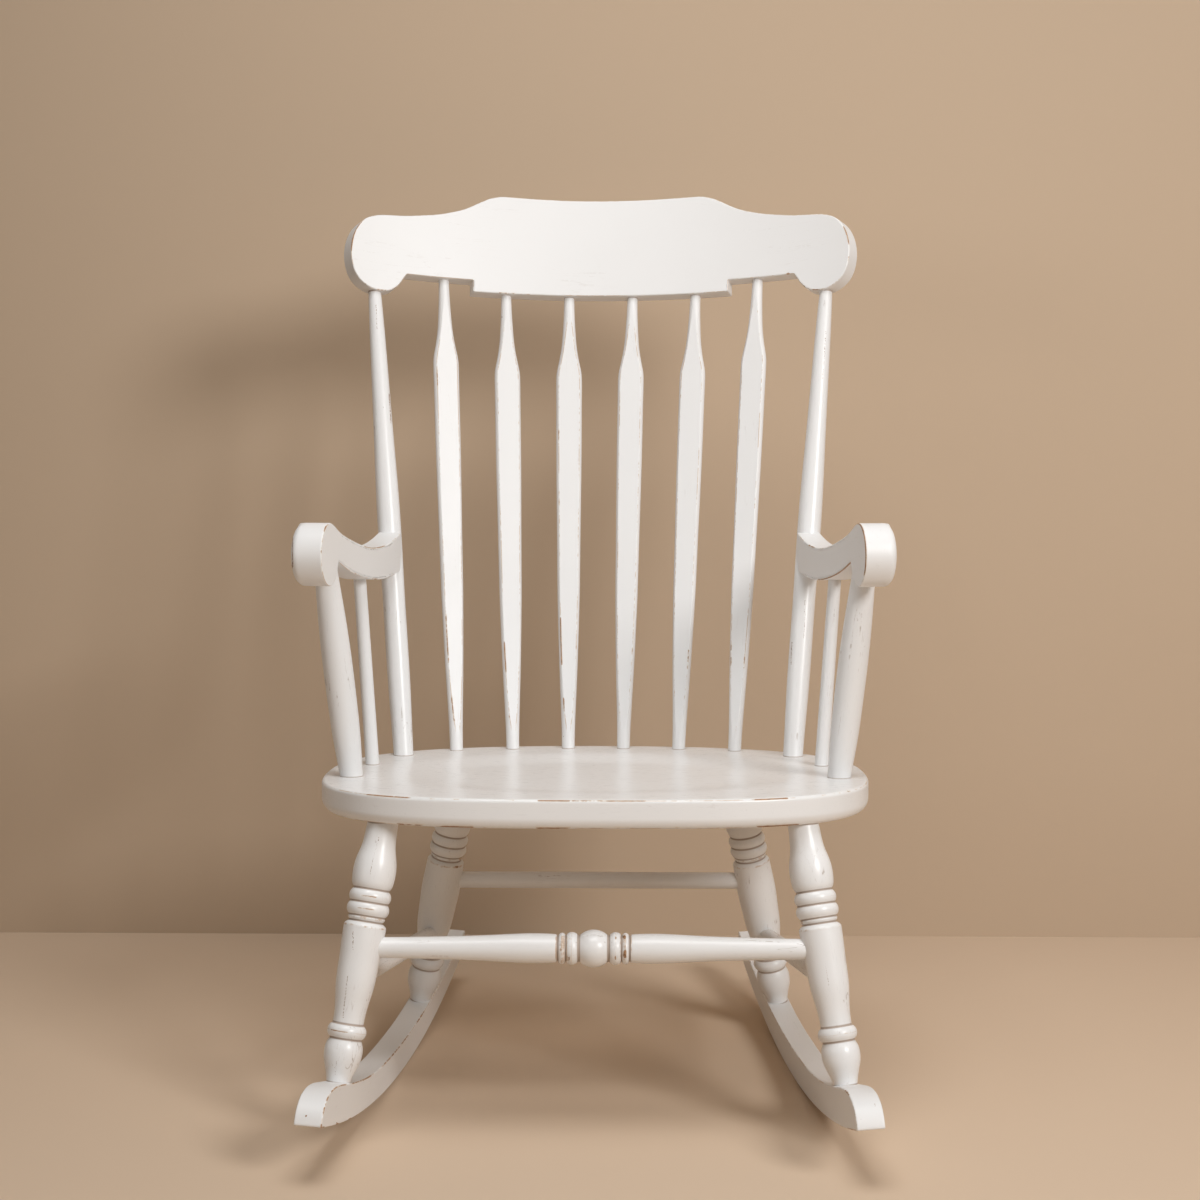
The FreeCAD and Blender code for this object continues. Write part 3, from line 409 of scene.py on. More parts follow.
def eased(line, spacing, reach, closed=True):
    """The line with its corners eased: even steps, each averaged with its neighbours by a bell."""
    steps = even_steps(line, spacing, closed)
    wide = int(math.ceil(4 * reach / spacing))
    bell = np.exp(-0.5 * (np.arange(-wide, wide + 1) * spacing / reach) ** 2)
    bell /= bell.sum()
    padded = np.pad(steps, ((wide, wide), (0, 0)), mode="wrap" if closed else "edge")
    return np.stack([np.convolve(padded[:, k], bell, mode="valid") for k in range(steps.shape[1])], axis=1)


def sawn_board(line, spine, half, arris_round, face_steps=9):
    """Rows over a flat board: from its spine over one face, round the arris, across the edge and back over
    the other face. Gives two flat coordinates and the place through the thickness, and the arris distance."""
    out = outward(line)
    inner = line - out * arris_round
    ray = np.linalg.norm(inner - spine, axis=1)
    quarter = arris_round * math.pi / 4
    steps = [np.full(len(line), share) for share in np.linspace(0, 1, face_steps)[:-1]]
    fine_steps = [np.clip(1 - gap / ray, 0, 1) for gap in (0.0025, 0.0011, 0.0004)]
    fine_steps[0] = np.maximum(fine_steps[0], (face_steps - 1.5) / (face_steps - 1))
    steps = np.array(steps + fine_steps)
    flat = list(spine + (inner - spine) * steps[..., None])
    depth = list(np.zeros(steps.shape))
    distance = list(ray * (1 - steps) + quarter)
    for turn in np.linspace(0, math.pi / 2, 6):
        flat.append(line - out * arris_round * (1 - math.sin(turn)))
        depth.append(np.full(len(line), arris_round * (1 - math.cos(turn))))
        distance.append(np.full(len(line), arris_round * abs(turn - math.pi / 4)))
    for share in (0.06, 0.15, 0.27, 0.4, 0.55, 0.77, 1.0):
        reach = share * (half(line) - arris_round)
        flat.append(line)
        depth.append(arris_round + reach)
        distance.append(quarter + reach)
    side = half(np.array(flat)) - np.array(depth)
    through = np.concatenate([-side, side[-2::-1]])
    return np.array(flat + flat[-2::-1]), through, np.array(distance + distance[-2::-1])


def even_half(thickness):
    """Half the thickness of a board, for every place on it."""
    return lambda flat: np.full(flat.shape[:-1], thickness / 2)


def running_z(distance):
    return rocker_radius - np.sqrt(rocker_radius**2 - distance**2)


rocker_at = np.array([share * rocker_length - rocker_front for share, depth in rocker_top_shares])
rocker_deep = np.array([depth * rocker_depth for share, depth in rocker_top_shares])
rocker_top = smooth_through(np.stack([rocker_at, running_z(rocker_at) + rocker_deep], axis=1), 600)
rocker_run = np.linspace(rocker_at[-1], rocker_at[0], 500)
rocker_line = np.vstack([rocker_top, np.stack([rocker_run, running_z(rocker_run)], axis=1)[:-1]])
rocker_line = eased(rocker_line, 0.0012, 0.0013)
rocker_mid_at = np.clip(rocker_line[:, 0], rocker_at[0] + 0.030, rocker_at[-1] - 0.012)
rocker_mid = np.interp(rocker_mid_at, rocker_top[:, 0], rocker_top[:, 1] - running_z(rocker_top[:, 0])) / 2
rocker_spine = np.stack([rocker_mid_at, running_z(rocker_mid_at) + rocker_mid], axis=1)


rocker_board = (rocker_line, rocker_spine, even_half(rocker_thickness), arris_round)
rocker_flat, rocker_through, rocker_arris = sawn_board(*rocker_board, 6)
rocker_grid = np.stack([rocker_through, rocker_flat[..., 0], rocker_flat[..., 1]], axis=-1)
rocker_turn = Matrix.Rotation(rocker_toe, 3, "Z") @ Matrix.Rotation(-rocker_lean, 3, "Y")
rocker_axes = [tuple(rocker_turn @ Vector(axis)) for axis in ((1, 0, 0), (0, 1, 0), (0, 0, 1))]
rocker_origin = (rocker_spread / 2, rocker_low_y, rocker_thickness / 2 * math.sin(rocker_lean))
rocker_world = carried(rocker_grid, rocker_origin, rocker_axes)
rocker_grain = np.stack([rocker_flat[..., 0], rocker_through, rocker_flat[..., 1]], axis=-1)
board_paint = rubbed_paint("board_paint", gloss=0.42, aged=0.15)
rocker_form = (rocker_world, rocker_grain, rocker_arris, far_off, board_paint)
# Both hands of a piece that is made in pairs: its name's ending, and whether it is the mirror twin.
sides = (("right", False), ("left", True))
for label, mirror in sides:
    shift = 11.3 if mirror else 7.7
    rocker = wooden_piece("runner_" + label, *rocker_form, shift, mirror, rocker_marks[label])
    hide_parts("rocker_" + label)

# Legs. Four turnings of one pattern, with a vase on top, a double ring, a long barrel and a ringed foot;
# the rear ones are fuller in the barrel. Each is wedged into the seat and doweled into its runner.
leg_front_top = (0.2232, -0.190)
leg_front_foot_y = -0.2565
leg_rear_top = (0.1675, 0.120)
leg_rear_foot_y = 0.1585
leg_ring_diameter = 0.046
leg_pattern_height = {"front": 0.114, "rear": 0.106}
leg_foot_height = 0.098
leg_tenon = (0.025, 0.022)
leg_foot_tenon = (0.015, 0.020)
leg_shoulder_run = 0.004
leg_shoulder_shares = (0.70, 0.52)
turned_row_length = 0.004
turned_row_turn = math.radians(7)
sharp_bend = 260
crown_bend = 60
leg_vase_shares = (
    (0.0, 0.704), (0.076, 0.724), (0.171, 0.746), (0.263, 0.802), (0.36, 0.924), (0.456, 0.989),
    (0.553, 0.976), (0.627, 0.874), (0.645, 0.80),
)
leg_ring_shares = (
    (0.653, 0.845, 0.0), (0.768, 0.855, 0.12), (0.888, 0.852, 0.128), (0.893, 0.80, 0.0), (0.898, 0.83, 0.0),
    (0.925, 0.83, 0.03), (0.945, 0.757, 0.0), (1.0, 0.978, 0.07),
)
leg_barrel_shares = {
    "front": ((0.0, 0.978), (0.265, 0.962), (0.515, 0.93), (1.0, 0.87)),
    "rear": ((0.0, 0.978), (0.2, 1.005), (0.42, 1.02), (0.7, 0.97), (1.0, 0.885)),
}
leg_ankle_shares = ((0.88, 0.793), (0.70, 0.712), (0.615, 0.705))
leg_foot_ring = (0.462, 0.712, 0.19)
leg_foot_shares = (
    (0.462, 0.715), (0.40, 0.83), (0.345, 0.875), (0.29, 0.872), (0.24, 0.842), (0.115, 0.665), (0.0, 0.53),
)
leg_marks = {
    "front_left": (
        (361, 899, 374, 897, 0.8), (357, 910, 371, 910, 0.8), (333, 1031, 345, 1030, 0.8),
        (325, 1027, 328, 1027, 0.7), (379, 836, 370, 874, 1.26), (353, 931, 353, 953, 1.28),
        (348, 975, 343, 1018, 1.28), (338, 1042, 335, 1076, 1.22),
    ),
    "front_right": (
        (845, 1030, 857, 1027, 0.75), (835, 1009, 835, 1009, 1.35), (811, 850, 815, 872, 1.2),
        (822, 950, 830, 990, 1.2),
    ),
    "rear_left": (
        (453.5, 841.5, 453.5, 841.5, 1.35), (450, 852, 450, 852, 1.3), (441, 868.5, 441, 868.5, 1.35),
        (457, 866.5, 457, 866.5, 1.3), (439, 889, 439, 889, 1.35),
    ),
    "rear_right": (),
}


def turned(stations, ease=0.0006, columns=72):
    """A turning along its own first axis. Each station is a distance, a radius and the belly before it, a
    round swell. Corners are eased, and rows lie closer where the outline turns. Both ends are closed."""
    stations = np.array([(stations[0][0], 0.0, 0.0)] + list(stations) + [(stations[-1][0], 0.0, 0.0)])
    line = [stations[:1, :2]]
    share = np.linspace(0, 1, 33)[1:]
    for before, after in zip(stations, stations[1:]):
        run = before[:2] + (after[:2] - before[:2]) * share[:, None]
        if after[2]:
            chord = np.linalg.norm(after[:2] - before[:2]) / 2
            round_radius = (chord**2 + after[2] ** 2) / (2 * abs(after[2]))
            sag = np.sqrt(round_radius**2 - ((2 * share - 1) * chord) ** 2) - round_radius + abs(after[2])
            run[:, 1] += np.sign(after[2]) * sag
        line.append(run)
    line = eased(np.vstack(line), 0.0002, ease, closed=False)
    line[0, 1] = 0
    line[-1, 1] = 0
    step = np.diff(line, axis=0)
    heading = np.unwrap(np.arctan2(step[:, 1], step[:, 0]))
    reach = reach_along(line)
    cost = reach / turned_row_length
    cost[1:-1] += np.cumsum(np.abs(np.diff(heading))) / turned_row_turn
    cost[-1] = max(cost[-1] + cost[-2] - cost[-3], cost[-2] + 0.01)
    cost = np.maximum.accumulate(cost)
    at = np.interp(np.linspace(0, cost[-1], int(cost[-1]) + 2), cost, reach)
    bend = np.gradient(np.interp(reach, (reach[1:] + reach[:-1]) / 2, heading), reach)
    radius = line[:, 1]
    crown = (radius > np.roll(radius, 1)) & (radius >= np.roll(radius, -1)) & (bend < -crown_bend)
    profile = np.stack([np.interp(at, reach, line[:, k]) for k in range(2)], axis=1)
    spans = []
    for where, further in ((bend < -sharp_bend, 0.0), (crown, 0.0003), (bend > sharp_bend, 0.0)):
        near = np.append(reach[where], 2 * reach[-1])
        spans.append(np.minimum(far_off, np.abs(at[:, None] - near).min(axis=1) + further))
    arris = np.minimum(spans[0], spans[1])
    turn = np.linspace(0, 2 * math.pi, columns, endpoint=False)
    circle = np.stack([np.ones(columns), np.cos(turn), np.sin(turn)], axis=-1)
    return profile[:, None, [0, 1, 1]] * circle, arris[:, None], spans[2][:, None]


def stick_axes(start, end):
    """Three axes of a stick: along it, and two square to it."""
    way = (Vector(end) - Vector(start)).normalized()
    side = way.cross(Vector((0, 1, 0))).normalized()
    return [tuple(way), tuple(side), tuple(way.cross(side))]


def seat_top_point(x, y):
    return Vector((x, y, seat_top_z(y)))


def seat_under_point(x, y):
    return Vector((x, y, seat_top_z(y) - seat_thickness / math.cos(seat_slope)))


def rocker_top_point(y):
    """The middle of the right runner's top edge at a place on the floor."""
    distance = (y - rocker_low_y) / math.cos(rocker_toe)
    share = (distance + rocker_front) / rocker_length
    depth = np.interp(share, *np.array(rocker_top_shares).T) * rocker_depth
    return Vector(rocker_origin) + rocker_turn @ Vector((0, distance, float(running_z(distance)) + depth))


def smooth_stations(points, count=40):
    """Stations of a turning along a smooth curve through points of distance and radius."""
    return [(at, wide, 0.0) for at, wide in smooth_through(points, count)]


leg_ends = {
    "front": (seat_under_point(*leg_front_top), rocker_top_point(leg_front_foot_y)),
    "rear": (seat_under_point(*leg_rear_top), rocker_top_point(leg_rear_foot_y)),
}
turned_paint = rubbed_paint("turned_paint", gloss=0.30, aged=0.8)
for row, (top, foot) in leg_ends.items():
    length = (foot - top).length
    ring = leg_ring_diameter / 2
    upper = leg_pattern_height[row]
    barrel = length - leg_foot_height - upper
    body = [(upper + share * barrel, wide * ring) for share, wide in leg_barrel_shares[row]]
    body += [(length - share * leg_foot_height, wide * ring) for share, wide in leg_ankle_shares]
    stations = [(at, leg_tenon[0] / 2, 0) for at in (-leg_tenon[1], -leg_shoulder_run)]
    stations.append((-leg_shoulder_run, ring * leg_shoulder_shares[0], 0))
    stations += smooth_stations([(share * upper, wide * ring) for share, wide in leg_vase_shares])
    stations += [(share * upper, ring * wide, ring * belly) for share, wide, belly in leg_ring_shares]
    stations += smooth_stations(body)
    share, wide, belly = leg_foot_ring
    stations.append((length - share * leg_foot_height, ring * wide, ring * belly))
    foot_knots = [(length - share * leg_foot_height, wide * ring) for share, wide in leg_foot_shares]
    stations += smooth_stations(foot_knots)
    stations.append((length + leg_shoulder_run, ring * leg_shoulder_shares[1], 0))
    stations += [(length + at, leg_foot_tenon[0] / 2, 0) for at in (leg_shoulder_run, leg_foot_tenon[1])]
    leg_rows, leg_arris, leg_groove = turned(stations)
    leg_world = carried(leg_rows, top, stick_axes(top, foot))
    # Below the seat and at the foot the leg is darkened by dust and painted contact shade, through its groove
    # distance.
    under_seat = seat_top_z(leg_world[..., 1]) - seat_thickness / math.cos(seat_slope) - leg_world[..., 2]
    leg_groove = np.minimum(np.minimum(leg_groove, under_seat), length - leg_rows[..., 0])
    leg_form = (leg_world, leg_rows, leg_arris, leg_groove, turned_paint)
    for label, mirror in sides:
        side = row + "_" + label
        shift = length * 31 + (5.3 if mirror else 0)
        leg = wooden_piece("turned_leg_" + side, *leg_form, shift, mirror, leg_marks[side])
        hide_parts("leg_" + side)

# Stretchers. A fancy turning with a ball between two pairs of rings joins the front legs; a plain rod
# joins the rear legs, and one more runs from front to rear on each side. All are tenoned into the legs.
front_stretcher_drop = 0.135
rear_stretcher_drop = 0.130
side_stretcher_front_drop = 0.168
side_stretcher_rear_drop = 0.202
front_stretcher_diameter = 0.0316
front_stretcher_ball_diameter = 0.0394
front_stretcher_off_centre = 0.0018
rear_stretcher_diameter = 0.0205
side_stretcher_diameter = 0.021
stretcher_end_inset = 0.0045
plain_end_share = 0.97
front_stretcher_ball_share = 0.0615
front_stretcher_ring_shares = (
    (0.063, 0.86, 0.0), (0.068, 0.87, 0.0), (0.071, 0.93, 0.0), (0.1165, 0.95, 0.14), (0.119, 0.85, 0.0),
    (0.1215, 0.85, 0.0), (0.124, 0.92, 0.0), (0.1515, 0.90, 0.125), (0.154, 0.83, 0.0), (0.158, 0.83, 0.0),
)
front_stretcher_rod_shares = (
    (0.160, 0.92), (0.175, 0.95), (0.20, 0.97), (0.24, 0.985), (0.28, 0.983), (0.335, 0.955), (0.402, 0.902),
    (0.48, 0.84), (0.571, 0.79), (0.70, 0.74), (0.85, 0.70), (1.0, 0.685),
)
front_stretcher_marks = (
    (560, 950, 560, 950, 1.3), (569.5, 938.5, 569.5, 938.5, 1.3), (569, 957, 569, 960, 1.35),
    (593, 941, 593, 941, 1.25), (593, 954, 593, 954, 1.3), (616.5, 938, 616.5, 938, 1.3),
    (615, 958, 615, 958, 1.25), (624.5, 937, 624.5, 937, 1.3), (625, 952, 625, 956, 1.3),
)


def down_leg(row, drop):
    """A point on a right-hand leg's axis, a distance below the seat."""
    top, foot = leg_ends[row]
    return top + (foot - top).normalized() * drop


def left_of(point):
    return Vector((-point[0], point[1], point[2]))


front_joint = down_leg("front", front_stretcher_drop)
half_span = front_joint.x
thick = front_stretcher_diameter / 2
ball_at = front_stretcher_ball_share * half_span
ball_end = front_stretcher_ring_shares[0][1] * thick
middle = half_span + front_stretcher_off_centre
rings = np.array(front_stretcher_ring_shares) * (half_span, thick, thick)
rod = np.array(front_stretcher_rod_shares) * (half_span, thick)
rod_start = stretcher_end_inset
rod_end = 2 * half_span - stretcher_end_inset
right_rod = np.stack([np.minimum(middle + rod[:, 0], rod_end), rod[:, 1]], axis=1)
left_rod = np.stack([np.maximum(middle - rod[:, 0], rod_start), rod[:, 1]], axis=1)
bellies_before = np.concatenate([[0], rings[:0:-1, 2]])
left_hand = smooth_stations(left_rod[::-1])
left_hand += list(zip(middle - rings[::-1, 0], rings[::-1, 1], bellies_before))
left_hand.append((middle - ball_at, ball_end, 0.0))
right_hand = [(middle + ball_at, ball_end, front_stretcher_ball_diameter / 2 - ball_end)]
right_hand += list(zip(middle + rings[:, 0], rings[:, 1], rings[:, 2]))
right_hand += smooth_stations(right_rod)
front_rows, front_arris, front_groove = turned(left_hand + right_hand, 0.0004)
front_world = carried(front_rows, left_of(front_joint), stick_axes(left_of(front_joint), front_joint))
front_form = (front_world, front_rows, front_arris, front_groove, turned_paint)
stretcher = wooden_piece("turned_front_stretcher", *front_form, 2.9, False, front_stretcher_marks)
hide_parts("front_stretcher")


def plain_stretcher(name, start, end, diameter, shift, mirror=False):
    """A straight rod, hardly thinner at its ends."""
    length = (end - start).length
    end_radius = plain_end_share * diameter / 2
    stations = [(stretcher_end_inset, end_radius, 0), (length / 2, diameter / 2, 0)]
    stations.append((length - stretcher_end_inset, end_radius, 0))
    rows = turned(stations, columns=48)[0]
    world = carried(rows, start, stick_axes(start, end))
    return wooden_piece(name, world, rows, far_off, far_off, turned_paint, shift, mirror)


rear_joint = down_leg("rear", rear_stretcher_drop)
rod = plain_stretcher("plain_rear_stretcher", left_of(rear_joint), rear_joint, rear_stretcher_diameter, 17.1)
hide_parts("rear_stretcher")
side_start = down_leg("front", side_stretcher_front_drop)
side_end = down_leg("rear", side_stretcher_rear_drop)
side_form = (side_start, side_end, side_stretcher_diameter)
for label, mirror in sides:
    shift = 23.7 if mirror else 19.2
    rod = plain_stretcher("plain_side_stretcher_" + label, *side_form, shift, mirror)
    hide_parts("side_stretcher_" + label)

# Crest rail. A board steamed to a bend and sawn to a low cloud outline, with a round ear over each post
# and a stepped lower edge where the sticks enter. Its arrises are worn most at the ears.
back_lean = math.radians(13.5)
back_bend_radius = 0.611
back_height = 0.710
back_foot_y = 0.1865
crest_height = 0.1285
crest_thickness = 0.024
crest_half_length = 0.334
crest_spine_reach = 0.87
crest_arris_round = 0.0016
crest_low = back_height - crest_height
crest_top_shares = (
    (0.0, 0.995), (0.24, 1.0), (0.36, 1.006), (0.405, 1.0), (0.44, 0.975), (0.48, 0.925), (0.52, 0.868),
    (0.56, 0.822), (0.60, 0.79), (0.65, 0.755), (0.71, 0.727), (0.77, 0.70), (0.83, 0.683),
)
crest_ear_shares = (
    (0.868, 0.672), (0.898, 0.656), (0.926, 0.628), (0.951, 0.583), (0.972, 0.515), (0.988, 0.425),
    (0.996, 0.33), (0.9975, 0.23), (0.992, 0.14), (0.98, 0.055), (0.962, -0.01), (0.938, -0.057),
    (0.912, -0.088), (0.884, -0.101), (0.856, -0.0985),
)
crest_under_shares = (
    (0.832, -0.083), (0.812, -0.05), (0.797, -0.012), (0.785, 0.035), (0.776, 0.07), (0.7685, 0.10),
)
crest_step_share = 0.503
crest_step_shares = ((0.503, 0.113), (0.503, -0.006), (0.25, -0.0005), (0.0, 0.0))
crest_spine_shares = ((0, 0.5), (0.4, 0.5), (0.52, 0.47), (0.6, 0.44), (0.7, 0.41), (0.8, 0.36), (0.87, 0.3))
crest_marks = (
    (351, 245, 354, 234, 0.95), (370, 214.5, 378, 214.5, 0.45), (357, 228, 362, 221, 0.45),
    (353, 260, 357, 270, 0.45), (360, 275, 366, 283, 0.45), (377, 288.7, 389, 288.7, 0.5),
    (500, 291.5, 515, 291.5, 0.6), (565, 291.5, 575, 291.5, 0.55), (472, 290, 475, 290, 0.5),
    (845.5, 228, 852, 243, 0.9), (851, 257, 851, 262, 0.6), (846, 275, 850, 263, 0.4),
    # The first two strokes on the next line are not wear: they darken the lower edge under the right ear's
    # lobe.
    (800, 284, 810, 289.5, 0.5), (810, 289.5, 827, 289.5, 0.5), (788, 273, 788, 273, 1.3),
)
back_origin = seat_top_point(0, back_foot_y)
back_axes = (
    (1, 0, 0),
    (0, math.cos(back_lean), -math.sin(back_lean)),
    (0, math.sin(back_lean), math.cos(back_lean)),
)
crest_right = np.array(crest_top_shares + crest_ear_shares + crest_under_shares)
crest_round = np.vstack([crest_right[:0:-1] * (-1, 1), crest_right])
crest_round = smooth_through(crest_round * (crest_half_length, crest_height), 1600)
crest_under = np.array(crest_step_shares)
crest_under = np.vstack([crest_under, crest_under[-2::-1] * (-1, 1)]) * (crest_half_length, crest_height)


def with_spine(outline, reach, ends, shares, size):
    """A board's outline with its corners eased, and the spine inside it: as far along as the outline eased
    over the given reach, but between two ends, and as high as the table of shares says."""
    line = eased(outline, 0.0005, 0.0011)
    along = eased(line, 0.0005, reach)[:, 0]
    along = np.interp(np.linspace(0, 1, len(line)), np.linspace(0, 1, len(along)), along)
    along = np.clip(along[::2], *ends)
    rise = np.interp(np.abs(along) / size[0], *np.array(shares).T) * size[1]
    return line[::2], np.stack([along, rise], axis=1)


def bent_back(arc, rise, through):
    """A place on the bent back, whose arc goes round a circle in front: every cut is square to the bend."""
    turn = arc / back_bend_radius
    radius = back_bend_radius + through
    points = np.stack([radius * np.sin(turn), radius * np.cos(turn) - back_bend_radius, rise], axis=-1)
    return carried(points, back_origin, back_axes)


def bent_point(arc, rise):
    return Vector(bent_back(np.array(arc), np.array(rise), 0.0))


crest_size = (crest_half_length, crest_height)
crest_ends = (-crest_spine_reach * crest_half_length, crest_spine_reach * crest_half_length)
crest_outline = np.vstack([crest_round, crest_under])
crest_line, crest_spine = with_spine(crest_outline, 0.012, crest_ends, crest_spine_shares, crest_size)
crest_board = (crest_line, crest_spine, even_half(crest_thickness), crest_arris_round)
crest_flat, crest_through, crest_arris = sawn_board(*crest_board, 12)
crest_world = bent_back(crest_flat[..., 0], crest_low + crest_flat[..., 1], crest_through)
crest_grain = np.stack([crest_flat[..., 0], crest_through, crest_flat[..., 1]], axis=-1)
crest_form = (crest_world, crest_grain, crest_arris, far_off, board_paint)
crest = wooden_piece("crest_board", *crest_form, 1.3, False, crest_marks)
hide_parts("crest_rail")

# Back posts. Two long sticks turned with a gentle swell at the arms, tapering to the crest, where each
# stands in the middle of an ear. Their feet are glued into the seat's rim.
post_foot_place = (0.2362, 0.1135)
post_top_share = 0.8842
post_foot_diameter = 0.024
post_arm_diameter = 0.0285
post_top_diameter = 0.0155
post_tenon = (0.013, 0.030)
post_seat_tenon = (0.017, 0.022)
stick_run_on = 0.003
post_run_on = 0.004
post_swell_shares = (
    (0.13, 0.94), (0.33, 0.96), (0.45, 1.0), (0.52, 1.0), (0.66, 0.88), (0.80, 0.76), (0.92, 0.66),
)
crest_ear_foot = crest_low - 0.101 * crest_height


def flowing_stick(stations, columns=56):
    """A turning whose outline is one smooth curve through its stations, with a tenon at each end."""
    stations = np.array(stations)
    body = smooth_through(stations[1:-1], 120)
    whole = [(stations[0][0], stations[0][1], 0), (body[0, 0], stations[0][1], 0)]
    whole += [(at, wide, 0) for at, wide in body]
    whole += [(body[-1, 0], stations[-1][1], 0), (stations[-1][0], stations[-1][1], 0)]
    return turned(whole, 0.0004, columns)[0]


def over_seat(world):
    """How high points are over the seat's top plane."""
    return world[..., 2] - seat_top_z(world[..., 1])


post_foot = seat_top_point(*post_foot_place)
post_top = bent_point(post_top_share * crest_half_length, crest_ear_foot)
post_length = (post_top - post_foot).length
stations = [(-post_seat_tenon[1], post_seat_tenon[0] / 2)]
stations += [(at, post_foot_diameter / 2) for at in (-stick_run_on, 0.0)]
stations += [(share * post_length, wide * post_arm_diameter / 2) for share, wide in post_swell_shares]
stations += [(post_length + post_run_on, post_top_diameter / 2)]
stations += [(post_length + post_tenon[1], post_tenon[0] / 2)]
post_marks = {
    "left": ((389, 392, 391, 424, 1.25), (385, 640, 387, 690, 1.2), (376, 305, 377, 330, 1.2)),
    "right": ((792, 640, 791, 664, 1.25), (805, 600, 804, 640, 1.22), (826, 330, 824, 360, 1.2)),
}
post_rows = flowing_stick(stations)
post_world = carried(post_rows, post_foot, stick_axes(post_foot, post_top))
# Near the seat and the crest the post is darkened by dust and painted contact shade, through its groove
# distance.
post_groove = np.minimum(over_seat(post_world), post_length - post_rows[..., 0])
post_form = (post_world, post_rows, far_off, post_groove, turned_paint)
for label, mirror in sides:
    post = wooden_piece("turned_post_" + label, *post_form, 29.0 + 4 * mirror, mirror, post_marks[label])
    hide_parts("back_post_" + label)

# Arrow spindles. Six sticks, turned round at both ends and planed flat front and back between, so that
# each blade swells to a shoulder under a thin neck. The narrow sides keep the turned surface.
spindle_foot_spacing = 0.0688
spindle_foot_shift = -0.004
spindle_top_spacing = 0.24491 * crest_half_length
spindle_seat_depth = 0.022
spindle_crest_depth = 0.024
spindle_pattern_length = 0.5829
spindle_ease = 0.00025
spindle_thin = 0.003
millimetre = 0.001
spindle_widths = millimetre * np.array((
    (0, 16.0), (8, 16.1), (36, 17.5), (75, 20.7), (113, 23.6), (152, 25.9), (190, 27.9), (255, 29.4),
    (319, 31.1), (370, 32.2), (409, 32.6), (447, 32.8), (473, 33.0), (480, 32.5), (486, 31.0), (492, 28.6),
    (499, 25.7), (507, 22.8), (518, 19.6), (537, 16.5), (563, 13.9), (583, 13.2),
))
spindle_depths = millimetre * np.array((
    (0, 16.0), (40, 16.8), (110, 17.6), (300, 18.4), (480, 18.4), (520, 16.2), (552, 14.2), (583, 13.2),
))
spindle_planes = millimetre * np.array((
    (0, 18.0), (14, 16.8), (40, 14.4), (80, 12.4), (125, 11.2), (300, 11.0), (480, 11.0), (500, 11.4),
    (530, 12.6), (566, 14.0), (583, 15.0),
))
spindle_marks = (
    (
        (438, 300, 436, 338, 0.45), (434, 364, 434, 382, 0.6), (446, 617, 449, 660, 0.65),
        (453, 700, 455, 718, 0.55),
    ),
    (
        (494, 368, 494, 377, 0.6), (503, 645, 505, 668, 0.95), (520, 635, 520, 655, 0.4),
        (502, 317, 502, 317, 1.4), (508, 717, 508, 717, 1.35),
    ),
    (
        (555.5, 371, 555, 376, 0.6), (555, 380, 555, 391, 0.6), (555, 400, 555, 402, 0.6),
        (555, 412, 555, 415, 0.6), (555, 429, 555.5, 445, 0.95), (556, 500, 556, 518, 0.6),
        (559, 620, 560, 662, 0.95), (577.5, 647, 576.5, 662, 0.5), (563, 700, 563, 710, 1.3),
        (564, 736, 564, 736, 1.35),
    ),
    ((632, 650, 633, 662, 0.55),),
    ((687, 652, 689, 668, 0.55), (671.5, 652, 671.5, 660, 0.7)),
    ((743, 655, 745, 668, 0.55), (728.5, 648, 728.5, 665, 0.8)),
)


def arrow_spindle(foot, top, wide_way):
    """A stick whose section is an ellipse, as wide and deep as its tables say, cut flat in front and behind.
    The cut eases into the round over a quarter of a millimetre. The pattern stretches with the length."""
    length = (top - foot).length
    scale = length / spindle_pattern_length
    spans = ((0, 0.46, 130), (0.462, 0.53, 70), (0.532, spindle_pattern_length, 20))
    on_pattern = np.concatenate([np.linspace(*span) for span in spans])
    at = np.concatenate([[-spindle_seat_depth, -0.002], on_pattern * scale, [length + spindle_crest_depth]])
    read = np.clip(at / scale, 0, spindle_pattern_length)
    knots = smooth_through(spindle_widths, 900)
    half_wide = np.interp(read, *knots.T) / 2
    half_deep = np.interp(read, *spindle_depths.T) / 2
    plane = np.interp(read, *spindle_planes.T) / 2
    corner = np.arcsin(np.clip(plane / half_deep, 0, 0.94))
    fine = np.array((-0.09, -0.05, -0.025, 0.0, 0.025, 0.05, 0.09))
    face = np.linspace(0.16, 0.84, 9)
    side = np.linspace(0.2, 0.8, 7)
    edge = corner[:, None]
    flat_run = math.pi - 2 * edge
    turn = []
    for half_turn in (0, math.pi):
        turn += [half_turn + edge + fine, half_turn + edge + face * flat_run]
        turn += [half_turn + math.pi - edge + fine, half_turn + math.pi - edge + side * 2 * edge]
    turn = np.concatenate(turn, axis=1)
    across = half_wide[:, None] * np.cos(turn)
    deep = half_deep[:, None] * np.sin(turn)
    limit = plane[:, None]
    over = np.clip(0.5 + 0.5 * (np.abs(deep) - limit) / spindle_ease, 0, 1)
    deep = np.sign(deep) * (np.abs(deep) * (1 - over) + limit * over - spindle_ease * over * (1 - over))
    rows = np.stack([np.broadcast_to(at[:, None], turn.shape), across, deep], axis=-1)
    corner_wide = half_wide * np.cos(corner)
    off_corner = np.hypot(np.abs(across) - corner_wide[:, None], np.abs(deep) - limit)
    rows = np.concatenate([rows[:1] * (1, 0, 0), rows, rows[-1:] * (1, 0, 0)])
    off_corner = np.concatenate([off_corner[:1], off_corner, off_corner[-1:]])
    off_corner[1:-1] += np.maximum(spindle_thin - corner_wide, 0)[:, None]
    way = (top - foot).normalized()
    return rows, off_corner, (tuple(way), tuple(wide_way), tuple(way.cross(wide_way)))


